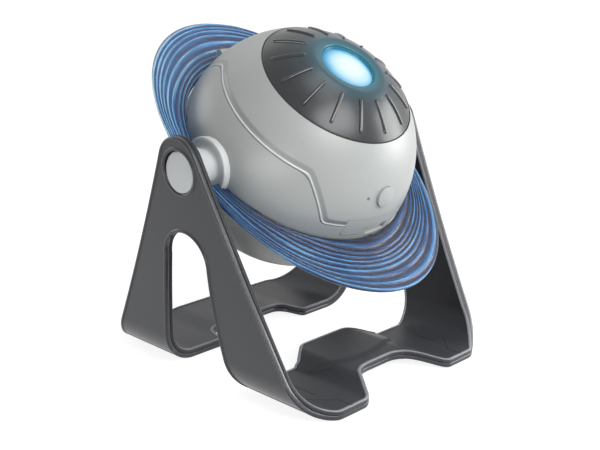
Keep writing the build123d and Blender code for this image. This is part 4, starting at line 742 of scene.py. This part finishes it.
def outer_outline():
    """Flat outline of the whole sheet: distance along the sheet from its middle, and depth."""
    edge = STAND_HALF_DEPTH
    foot, start = BEND_START + 0.5, 9.0
    corners = [(0, -70.5, 0), (18, -70.5, 16), (37, -edge, 9), (foot, -edge, 12),
               (BEND_START + start, -leg_edge(start), 0)]
    points = rounded(corners, closed=False)[:-1]
    tangent = atan(LEG_TAPER)
    centre = PIVOT_STATION + CROWN_RISE
    top = (20.9 - LEG_TAPER * CROWN_RISE) * cos(tangent)
    stop = centre + top * sin(tangent)
    steps = 44
    flank = [start + (stop - start) * i / steps for i in range(steps + 1)]
    points += [(BEND_START + s, -leg_edge(s)) for s in flank]
    for i in range(1, 24):
        angle = tangent + (pi - 2 * tangent) * i / 24
        points.append((BEND_START + centre + top * sin(angle), -top * cos(angle)))
    points += [(BEND_START + s, leg_edge(s)) for s in reversed(flank)]
    heel = [(BEND_START + start, leg_edge(start), 0), (foot, edge, 12), (0, edge, 0)]
    points += rounded(heel, closed=False)[1:]
    return both_halves(points)


def inner_outline():
    """Flat outline of the one opening: the gap between the floor strips and the arch in each arm."""
    points = rounded([(0, -22, 0), (20, -22, 9), (36, -34.7, 9), (BEND_START, -34.7, 0)], closed=False)[:-1]
    steps = 26
    stations = [ARCH_STATION * i / steps for i in range(steps + 1)]
    points += [(BEND_START + s, arch_front(s)) for s in stations]
    for i in range(1, 24):
        angle = pi * i / 24
        points.append((BEND_START + ARCH_STATION + 18.5 * sin(angle), 2.0 - 18.5 * cos(angle)))
    points += [(BEND_START + s, arch_rear(s)) for s in reversed(stations)]
    points += rounded([(BEND_START, 32, 0), (38, 32, 4), (33, 50, 8), (0, 50, 0)], closed=False)[1:]
    return both_halves(points)


def hole(x, y, radius, steps):
    return [(x + radius * cos(2 * pi * i / steps), y + radius * sin(2 * pi * i / steps)) for i in range(steps)]


def on_sheet(station, depth):
    """X and Z of a point of the right half of the bent sheet."""
    if station <= 0:
        return BEND_START + station, PAD_PROUD + depth
    turn = min(station / BEND_RADIUS, BEND_TURN)
    radius = BEND_RADIUS - depth
    x = BEND_START + radius * sin(turn)
    z = PAD_PROUD + BEND_RADIUS - radius * cos(turn)
    rest = max(station - BEND_LENGTH, 0)
    return x + rest * sin(ARM_LEAN), z + rest * cos(ARM_LEAN)


PLATEAU = [(37.5, -30.0), (37.2, -48.5), (29.5, -54.0), (15.0, -59.0), (0.0, -60.5)]


def plateau_share(x, y):
    """One on the raised part of the front strip, none outside its step line."""
    for (x0, y0), (x1, y1) in zip(PLATEAU, PLATEAU[1:]):
        if x1 <= x <= x0:
            line = y0 + (y1 - y0) * (x0 - x) / (x0 - x1)
            return ease((y - line) / 2.4 + 0.5)
    return 0.0


def bend_sheet(bm):
    """Lifts the bridges and folds the flat sheet into the stand; Z is the depth from the outer face."""
    for vert in bm.verts:
        along, y, depth = vert.co
        side = -1 if along < 0 else 1
        distance = abs(along)
        x, z = on_sheet(distance - BEND_START, depth)
        if distance < BRIDGE_FOOT + 1:
            z += (FRONT_LIFT if y < 0 else REAR_LIFT) * ease((BRIDGE_FOOT - distance) / BRIDGE_RAMP)
            if y < -20 and depth > SHELL_SKIN + 1.5:
                z += PLATEAU_LIFT * plateau_share(distance, y)
        vert.co = (side * x, y, z)


def inset(bm, faces, width):
    bmesh.ops.inset_region(bm, faces=faces, thickness=width, use_boundary=True, use_even_offset=True)


def set_level(faces, height):
    for vert in {v for face in faces for v in face.verts}:
        vert.co.z = height


def cut_across(bm, place, normal=(1, 0, 0), geom=None):
    """Cuts the mesh along a plane, all of it or only the given part."""
    bmesh.ops.bisect_plane(bm, geom=geom or bm.verts[:] + bm.edges[:] + bm.faces[:], dist=0.0001,
                           plane_co=place, plane_no=normal)


def round_rim(bm, faces, radius, level, way, steps=4):
    """Rounds the rim of a flat face; the face starts a radius short of its level."""
    for i in range(steps):
        a0, a1 = pi / 2 * i / steps, pi / 2 * (i + 1) / steps
        inset(bm, faces, radius * (cos(a0) - cos(a1)))
        set_level(faces, level - way * radius * (1 - sin(a1)))


def step_in(bm, faces, steps, level, way):
    """Insets a flat region in (width, drop) steps; each drop is measured from the level."""
    for wide, drop in steps:
        inset(bm, faces, wide)
        set_level(faces, level - way * drop)


def cut_sheet(holes, joint, show, rim):
    """One skin of the stand, flat: its joint face at one depth, its show face at another, rims rounded."""
    bm = bmesh.new()
    edges = []
    for points in [outer_outline(), inner_outline()] + holes:
        edges += chain(bm, [(x, y, 0) for x, y in points])[1]
    bmesh.ops.triangle_fill(bm, use_beauty=True, use_dissolve=False, edges=edges)
    way = 1 if show > joint else -1
    low = bm.faces[:]
    result = bmesh.ops.extrude_face_region(bm, geom=low)
    top = [item for item in result["geom"] if isinstance(item, bmesh.types.BMFace)]
    for vert in bm.verts:
        vert.co.z = joint + way * JOINT_BREAK
    set_level(top, show - way * rim)
    inset(bm, low, JOINT_BREAK)
    set_level(low, joint)
    round_rim(bm, top, rim, show, way)
    return bm, top


def slice_for_bending(bm):
    cuts = [BEND_START + BEND_LENGTH * i / 26 for i in range(27)] + [20 + 1.2 * i for i in range(19)]
    for place in cuts:
        for side in (-1, 1):
            cut_across(bm, (side * place, 0, 0))


PANEL_FOOT = 12.0


def sunk_panel(bm, level, way):
    """Field of each arm's outer face, set back behind a border along its edges."""
    for side in (-1, 1):
        cut_across(bm, (side * (BEND_START + PANEL_FOOT), 0, 0))
    flat = [f for f in bm.faces if all(abs(v.co.z - level) < 1e-4 for v in f.verts)]
    for side in (-1, 1):
        field = [f for f in flat if side * f.calc_center_median().x > BEND_START + PANEL_FOOT]
        step_in(bm, field, PANEL_STEPS, level, way)


def mark_border(bm, show, reach):
    """Marks the beads and borders of a flat skin, near its show level, and how much of it is arm."""
    border = bm.verts.layers.float.new("border")
    arm = bm.verts.layers.float.new("arm")
    for vert in bm.verts:
        vert[border] = 1.0 if abs(vert.co.z - show) < reach else 0.0
        # the arm share sets where the finish paints the arms' shade
        vert[arm] = ease((abs(vert.co.x) - BEND_START + 8.0) / (BEND_LENGTH + 20.0))


def foot_places():
    pad_x = BEND_START - 9.3
    pads = [(pad_x, y) for y in (-79.5, -47.7, 48.0, 79.5)]
    screws = [(pad_x, y) for y in (-63.6, 63.75)]
    return pads, screws


def make_stand_shell():
    pads, screws = foot_places()
    holes = []
    for side in (-1, 1):
        holes.append(hole(side * (BEND_START + PIVOT_STATION), 0, CAP_HOLE, 56))
        holes += [hole(side * x, y, 7.15, 32) for x, y in pads]
        holes += [hole(side * x, y, 2.9, 20) for x, y in screws]
    bm = cut_sheet(holes, SHELL_SKIN, 0.0, 1.0)[0]
    sunk_panel(bm, 0.0, -1)
    mark_border(bm, 0.0, 0.3)
    slice_for_bending(bm)
    bend_sheet(bm)
    finish_piece(bm, "stand_outer_skin", "stand", SHELL_CHARCOAL, ["stand_shell"], sharp=50)


def front_bridge(bm):
    """Faces of the front strip's bridge on the flat sheet."""
    middles = [(face, face.calc_center_median()) for face in bm.faces]
    return [face for face, middle in middles if abs(middle.x) < 43 and middle.y < -20]


def make_stand_liner():
    holes = [hole(side * (BEND_START + PIVOT_STATION), 0, 11.6, 48) for side in (-1, 1)]
    bm, top = cut_sheet(holes, SHELL_SKIN + 0.1, SHEET, 1.15)
    step_in(bm, top, BEAD_STEPS, SHEET, 1)
    mark_border(bm, SHEET, 0.35)
    slice_for_bending(bm)
    cuts = [((0, -66 + 1.3 * i, 0), (0, 1, 0)) for i in range(34)]
    cuts += [((1.3 * i, 0, 0), (1, 0, 0)) for i in range(-14, 15)]
    for place, normal in cuts:
        near = front_bridge(bm)
        geom = list({v for f in near for v in f.verts}) + list({e for f in near for e in f.edges}) + near
        cut_across(bm, place, normal, geom)
    bend_sheet(bm)
    for side in (-1, 1):
        boss = turned([(11.6, 90.0), (11.6, 91.8), (16.0, 91.8), (16.0, 90.5), (15.5, 90.0)], 64)
        boss.transform(Matrix.Translation((0, 0, PIVOT_HEIGHT)) @ Matrix.Rotation(side * pi / 2, 4, "Y"))
        add_mesh(bm, boss)
    finish_piece(bm, "stand_inner_skin", "stand", LINER_CHARCOAL, ["stand_liner"], sharp=50)


def add_mesh(bm, other):
    spare = bpy.data.meshes.new("spare")
    other.to_mesh(spare)
    other.free()
    bm.from_mesh(spare)
    bpy.data.meshes.remove(spare)


make_stand_shell()
make_stand_liner()


# ---------------------------------------------------------------- collars, caps
def make_collar(name, side):
    """Flange on the ball, waist, outer disc and journal, turned along the tilt axis."""
    profile = rounded([(6.3, 77, 0), (6.3, 92.1, 0.3), (9.5, 92.1, 0.4), (9.5, 88.5, 0.4), (13.2, 88.5, 1.1),
                       (13.2, 82.5, 1.1), (11.2, 82.5, 0.8), (11.2, 76.3, 1.8), (15.6, 76.3, 0.9),
                       (16.2, 77, 0.5), (18.0, 77, 1.3), (18.0, 71.05, 0.2), (1.0, 71.05, 0.2), (1.0, 77, 0.2)])
    bm = turned(profile, 96)
    place = Matrix.Translation((0, 0, PIVOT_HEIGHT)) @ Matrix.Rotation(TILT, 4, "X")
    place = place @ Matrix.Rotation(side * pi / 2, 4, "Y")
    finish_piece(bm, name, "ball", COLLAR_WHITE,
                 ["collar_right" if side > 0 else "collar_left"], place, sharp=50)


def make_cap(name, side):
    """Round cap in the arm, with a soft edge and a faint dish."""
    dish = [(12.3 * i / 10 * 0.86, 95.42 + 0.12 * ease(i / 10)) for i in range(11)]
    profile = dish + [(11.4, 95.6), (11.95, 95.5), (12.25, 95.2), (12.3, 94.8), (12.3, 92.15), (6.2, 92.15),
                      (6.2, 84.0), (4.5, 84.0), (4.5, 91.9), (0, 91.9)]
    bm = turned(profile, 96)
    place = Matrix.Translation((0, 0, PIVOT_HEIGHT)) @ Matrix.Rotation(side * pi / 2, 4, "Y")
    finish_piece(bm, name, "ball", CAP_GREY,
                 ["pivot_cap_right" if side > 0 else "pivot_cap_left"], place, sharp=50)


for side, word in ((-1, "left"), (1, "right")):
    make_collar("collar_turned_" + word, side)
    make_cap("cap_disc_" + word, side)


# ---------------------------------------------------------------- dome, ribs, lens
CROWN_HEIGHT = 70.6        # the dome's crown is flat round the lens well


def make_dome():
    edge = asin((DOME_EDGE - 0.6) / DOME_RADIUS)
    inner = DOME_RADIUS - DOME_WALL
    profile = [(WELL_RADIUS, WELL_FOOT), (WELL_RADIUS, CROWN_HEIGHT - 0.7), (17.7, CROWN_HEIGHT - 0.35)]
    profile += [(17.95, CROWN_HEIGHT - 0.1), (18.3, CROWN_HEIGHT)]
    for radius, height in arc(DOME_RADIUS, asin(19.0 / DOME_RADIUS), edge, 50):
        # the crown flattens towards the well
        flat = CROWN_HEIGHT + 0.02 * (radius - 18.3)
        share = ease((27.0 - radius) / 8.0)
        profile.append((radius, min(height, height * (1 - share) + flat * share)))
    profile += [(DOME_EDGE - 0.15, 55.9), (DOME_EDGE, 55.5), (DOME_EDGE, 53.6), (DOME_EDGE - 0.3, 53.2)]
    profile += arc(inner, asin((DOME_EDGE - 0.8) / inner), asin(WELL_OUTER / inner), 30)
    profile += [(WELL_OUTER, WELL_FOOT)]
    bm = turned(profile, 144)
    finish_piece(bm, "dome_shell", "dome", BLACK_DOME, ["focus_dome"], ON_BALL, sharp=40)


def make_dome_ribs():
    """Fifteen round-ended ridges on the dome, one of them at the front."""
    bm = bmesh.new()
    bmesh.ops.create_grid(bm, x_segments=30, y_segments=10, size=1)
    reach = (RIB_OUTER - RIB_INNER) / 2
    half = RIB_WIDTH / 2
    middle = (RIB_OUTER + RIB_INNER) / 2
    for vert in bm.verts:
        along, across = vert.co.x, vert.co.y
        # squeeze the grid's ends to half circles
        run = along * reach
        straight = reach - half
        over = max(abs(run) - straight, 0) / half
        wide = half * sqrt(max(1 - over ** 2, 0))
        y = across * wide
        share = min(hypot(over, y / half), 1.0)
        rise = RIB_PROUD * sqrt(max(1 - share ** 2.4, 0)) - 0.12 * (share > 0.999)
        radius = middle + run
        sphere = DOME_RADIUS + rise
        direction = Vector((y, -radius, sqrt(DOME_RADIUS ** 2 - radius ** 2 - y ** 2))).normalized()
        vert.co = direction * sphere
    bmesh.ops.spin(bm, geom=bm.verts[:] + bm.edges[:] + bm.faces[:], cent=(0, 0, 0), axis=(0, 0, 1),
                   angle=2 * pi * (RIB_COUNT - 1) / RIB_COUNT, steps=RIB_COUNT - 1, use_duplicate=True)
    finish_piece(bm, "dome_ribs", "dome", RIB_BLACK, (), ON_BALL, sharp=60)


def make_lens():
    """Crowned front lens, bright with the lamp's light, on its dark barrel."""
    edge, crown, wide = 68.5, 69.8, 16.5
    radius = (wide ** 2 + (crown - edge) ** 2) / (2 * (crown - edge))
    front = arc(radius, 0, asin((wide - 0.2) / radius), 18, crown - radius)
    front += [(wide, edge - 0.1), (wide, edge - 0.9), (15.7, edge - 0.9), (15.7, 64.2), (15.4, 64.0), (0, 64.0)]
    barrel = [(15.85, 47.6), (17.2, 47.6), (17.2, 66.9), (17.05, 67.3), (16.7, 67.5), (15.85, 67.5)]
    ring = [(16.55, 67.6), (17.2, 67.6), (17.2, 69.3), (17.1, 69.55), (16.85, 69.6), (16.6, 69.4)]
    for profile, name, finish, slot, node in (
            (front, "lens_front_lit", LIT_LENS, "glass", "front_lens"),
            (barrel, "lens_barrel_turned", INNER_BLACK, "black_inner", "lens_barrel"),
            (ring, "lens_rim", LENS_RIM, "black_inner", "lens_ring")):
        finish_piece(turned(profile, 96), name, "lens", finish, [node], ON_BALL, sharp=50)


make_dome()
make_dome_ribs()
make_lens()


# ---------------------------------------------------------------- ring
def oval_reach(angle):
    """Distance from the centre to the ring's outer edge."""
    return 1 / sqrt((cos(angle) / RING_HALF_WIDTH) ** 2 + (sin(angle) / RING_HALF_LENGTH) ** 2)


def strand_height(angle, share):
    """Relief of the strands, 0 to 1: uneven ridges that wander, swell and fade along the ring."""
    x, y = cos(angle), sin(angle)
    sway = noise.noise(Vector((x * 1.1, y * 1.1, share * 2.0))) * 1.4
    lean = noise.noise(Vector((x * 0.9, y * 0.9, 11.0))) * 0.6
    band = 9.0 * share + sway + lean
    place = band - floor(band)
    # each band climbs slowly to its crest and drops quickly into the next groove
    main = ease(place / 0.7) if place < 0.7 else ease((1 - place) / 0.3)
    thin = 0.5 - 0.5 * cos(2 * pi * (19.0 * share + 1.6 * sway + 1.5 * noise.noise(Vector((x, y, 7.0)))))
    fade = 0.5 + 0.5 * noise.noise(Vector((x * 1.3, y * 1.3, floor(band) * 0.7)))
    return main * (0.35 + 0.55 * fade) + 0.16 * thin * (1.1 - fade)


# a half ring is first spun as a flat band of this inner radius and width
DRAWN_FROM = 100
DRAWN_WIDTH = 10


def make_ring_half(name, node, side):
    """Half of the ring: a thin oval of strands, with a slim rounded outer edge."""
    shares = [0.012 * i for i in range(4)] + [0.05 + 0.9 * i / 124 for i in range(125)]
    shares += [0.962, 0.975, 0.988, 0.997]
    bm = bmesh.new()
    top = [(share, 1) for share in shares]
    under = [(share, -1) for share in reversed(shares)]
    loop = top + [(1.0, 0)] + under + [(0.0, 0)]
    verts, edges = chain(bm, [(DRAWN_FROM + DRAWN_WIDTH * share, 0, level) for share, level in loop])
    steps = 200
    bmesh.ops.spin(bm, geom=verts + edges, cent=(0, 0, 0), axis=(0, 0, 1), angle=pi, steps=steps,
                   use_merge=False, use_duplicate=False)
    strands = bm.loops.layers.uv.new("strands")
    crest = bm.verts.layers.float.new("crest")
    for face in bm.faces:
        for corner in face.loops:
            co = corner.vert.co
            share = (hypot(co.x, co.y) - DRAWN_FROM) / DRAWN_WIDTH
            corner[strands].uv = (atan2(co.y, co.x) / pi * (1 if side > 0 else -1), share)
    for vert in bm.verts:
        turn = atan2(vert.co.y, vert.co.x)
        if turn < -1e-4:
            turn += 2 * pi
        share = (hypot(vert.co.x, vert.co.y) - DRAWN_FROM) / DRAWN_WIDTH
        level = vert.co.z
        clear = RING_END_AT_FLANGE + (RING_END - RING_END_AT_FLANGE) * ease((share - 0.19) / 0.035)
        start = asin(clear / (RING_INNER + (RING_HALF_WIDTH + 0.7 - RING_INNER) * share))
        angle = start + (pi - 2 * start) * turn / pi
        reach = oval_reach(angle)
        radius = RING_INNER + (reach - RING_INNER) * share
        relief = strand_height(side * angle, share)
        room = min((reach - RING_INNER) / 30.0, 1.0)
        rim = min(share / 0.03, (1 - share) / 0.04, 1.0)
        thick = 0.80 + 0.97 * relief * (0.45 + 0.55 * room)
        height = level * thick * sqrt(max(1 - (1 - min(rim, 1.0)) ** 2, 0.0))
        # the relief also sets where the ring's finish paints highlight on the crests and shade in the grooves
        vert[crest] = relief
        vert.co = (radius * cos(angle), side * radius * sin(angle), height)
    ends = [e for e in bm.edges if e.is_boundary]
    bmesh.ops.holes_fill(bm, edges=ends)
    finish_piece(bm, name, "ball", BLUE_RING, [node], ON_BALL, sharp=60)


make_ring_half("ring_strands_front", "ring_front", -1)
make_ring_half("ring_strands_rear", "ring_rear", 1)


# ---------------------------------------------------------------- finishes of the CAD nodes that stay
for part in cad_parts.values():
    for holder in part.material_slots:
        slot_name = holder.material.name.split(".")[0]
        holder.material = FINISHES[slot_name]


def refinish(name, finish):
    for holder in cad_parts[name].material_slots:
        holder.material = finish


refinish("upper_cover", SILVER_COVER)
refinish("power_button", BUTTON_SILVER)


# ---------------------------------------------------------------- floor, light and camera
def shows_white(tree):
    """1 for the rays that see the white surroundings: the camera's, mirrored ones and those through glass."""
    seen = put(tree, "LightPath").outputs
    clear = larger(tree, seen["Is Camera Ray"], seen["Is Transmission Ray"])
    return larger(tree, clear, seen["Is Glossy Ray"])


def make_floor():
    bm = bmesh.new()
    bmesh.ops.create_grid(bm, x_segments=2, y_segments=2, size=6.0)
    mesh = bpy.data.meshes.new("studio_floor")
    bm.to_mesh(mesh)
    bm.free()
    finish, tree, shader = new_finish("studio floor")
    here = put(tree, "TexCoord").outputs["Object"]
    away = put(tree, "VectorMath", {0: here}, operation="LENGTH").outputs["Value"]
    far = spread(tree, away, 0.25, 1.1, smooth=True)
    tree.links.new(blend_colour(tree, far, (0.5, 0.5, 0.5, 1), (0.02, 0.02, 0.02, 1)), shader["Base Color"])
    glow = times(tree, shows_white(tree), spread(tree, far, 0.0, 1.0, 0.86, 1.0))
    tree.links.new(glow, shader["Emission Strength"])
    set_sockets(shader, Roughness=0.8, Specular_IOR_Level=0.1, Emission_Color=(1, 1, 1, 1))
    mesh.materials.append(finish)
    floor = bpy.data.objects.new("studio_floor", mesh)
    bpy.context.scene.collection.objects.link(floor)


def make_world():
    world = bpy.data.worlds.new("studio")
    bpy.context.scene.world = world
    world.use_nodes = True
    tree = world.node_tree
    tree.nodes.clear()
    soft = put(tree, "Background", {"Color": (0.86, 0.9, 0.95, 1), "Strength": 0.10}).outputs[0]
    white = put(tree, "Background", {"Color": (1, 1, 1, 1), "Strength": 1.0}).outputs[0]
    mixed = put(tree, "MixShader", {0: shows_white(tree), 1: soft, 2: white}).outputs[0]
    output = tree.nodes.new("ShaderNodeOutputWorld")
    tree.links.new(mixed, output.inputs[0])


BALL_MIDDLE = (0, 0, 0.11)


def softbox(name, place, width, height, watts):
    data = bpy.data.lights.new(name, "AREA")
    data.shape = "RECTANGLE"
    data.size, data.size_y, data.energy = width, height, watts
    lamp = bpy.data.objects.new(name, data)
    lamp.location = place
    lamp.rotation_euler = (Vector(BALL_MIDDLE) - Vector(place)).to_track_quat("-Z", "Y").to_euler()
    bpy.context.scene.collection.objects.link(lamp)


def make_camera():
    data = bpy.data.cameras.new("camera")
    data.sensor_width, data.lens = 36.0, 62.40
    data.clip_start, data.clip_end = 0.01, 50.0
    camera = bpy.data.objects.new("camera", data)
    azimuth, elevation, distance = radians(-45.358), radians(16.309), 0.67254
    target = Vector((0.001217, -0.00123, 0.08314))
    back = Vector((sin(azimuth) * cos(elevation), -cos(azimuth) * cos(elevation), sin(elevation)))
    camera.location = target + back * distance
    camera.rotation_euler = (-back).to_track_quat("-Z", "Y").to_euler()
    bpy.context.scene.collection.objects.link(camera)
    bpy.context.scene.camera = camera


make_floor()
make_world()
softbox("key softbox", (0.92, -0.60, 0.30), 0.6, 0.6, 8.50)
softbox("front softbox", (-0.06, -0.93, 0.72), 0.7, 0.5, 8.92)
softbox("left strip", (-0.80, -0.30, 0.07), 0.5, 0.12, 1.53)
softbox("back softbox", (0.1, 0.78, 0.95), 0.7, 0.5, 0.68)
softbox("rear softbox", (-0.30, 1.05, 0.32), 0.6, 0.5, 2.55)
softbox("top softbox", (0.1, -0.45, 1.1), 0.5, 0.5, 2.21)
make_camera()
bpy.context.scene.view_settings.view_transform = "Standard"
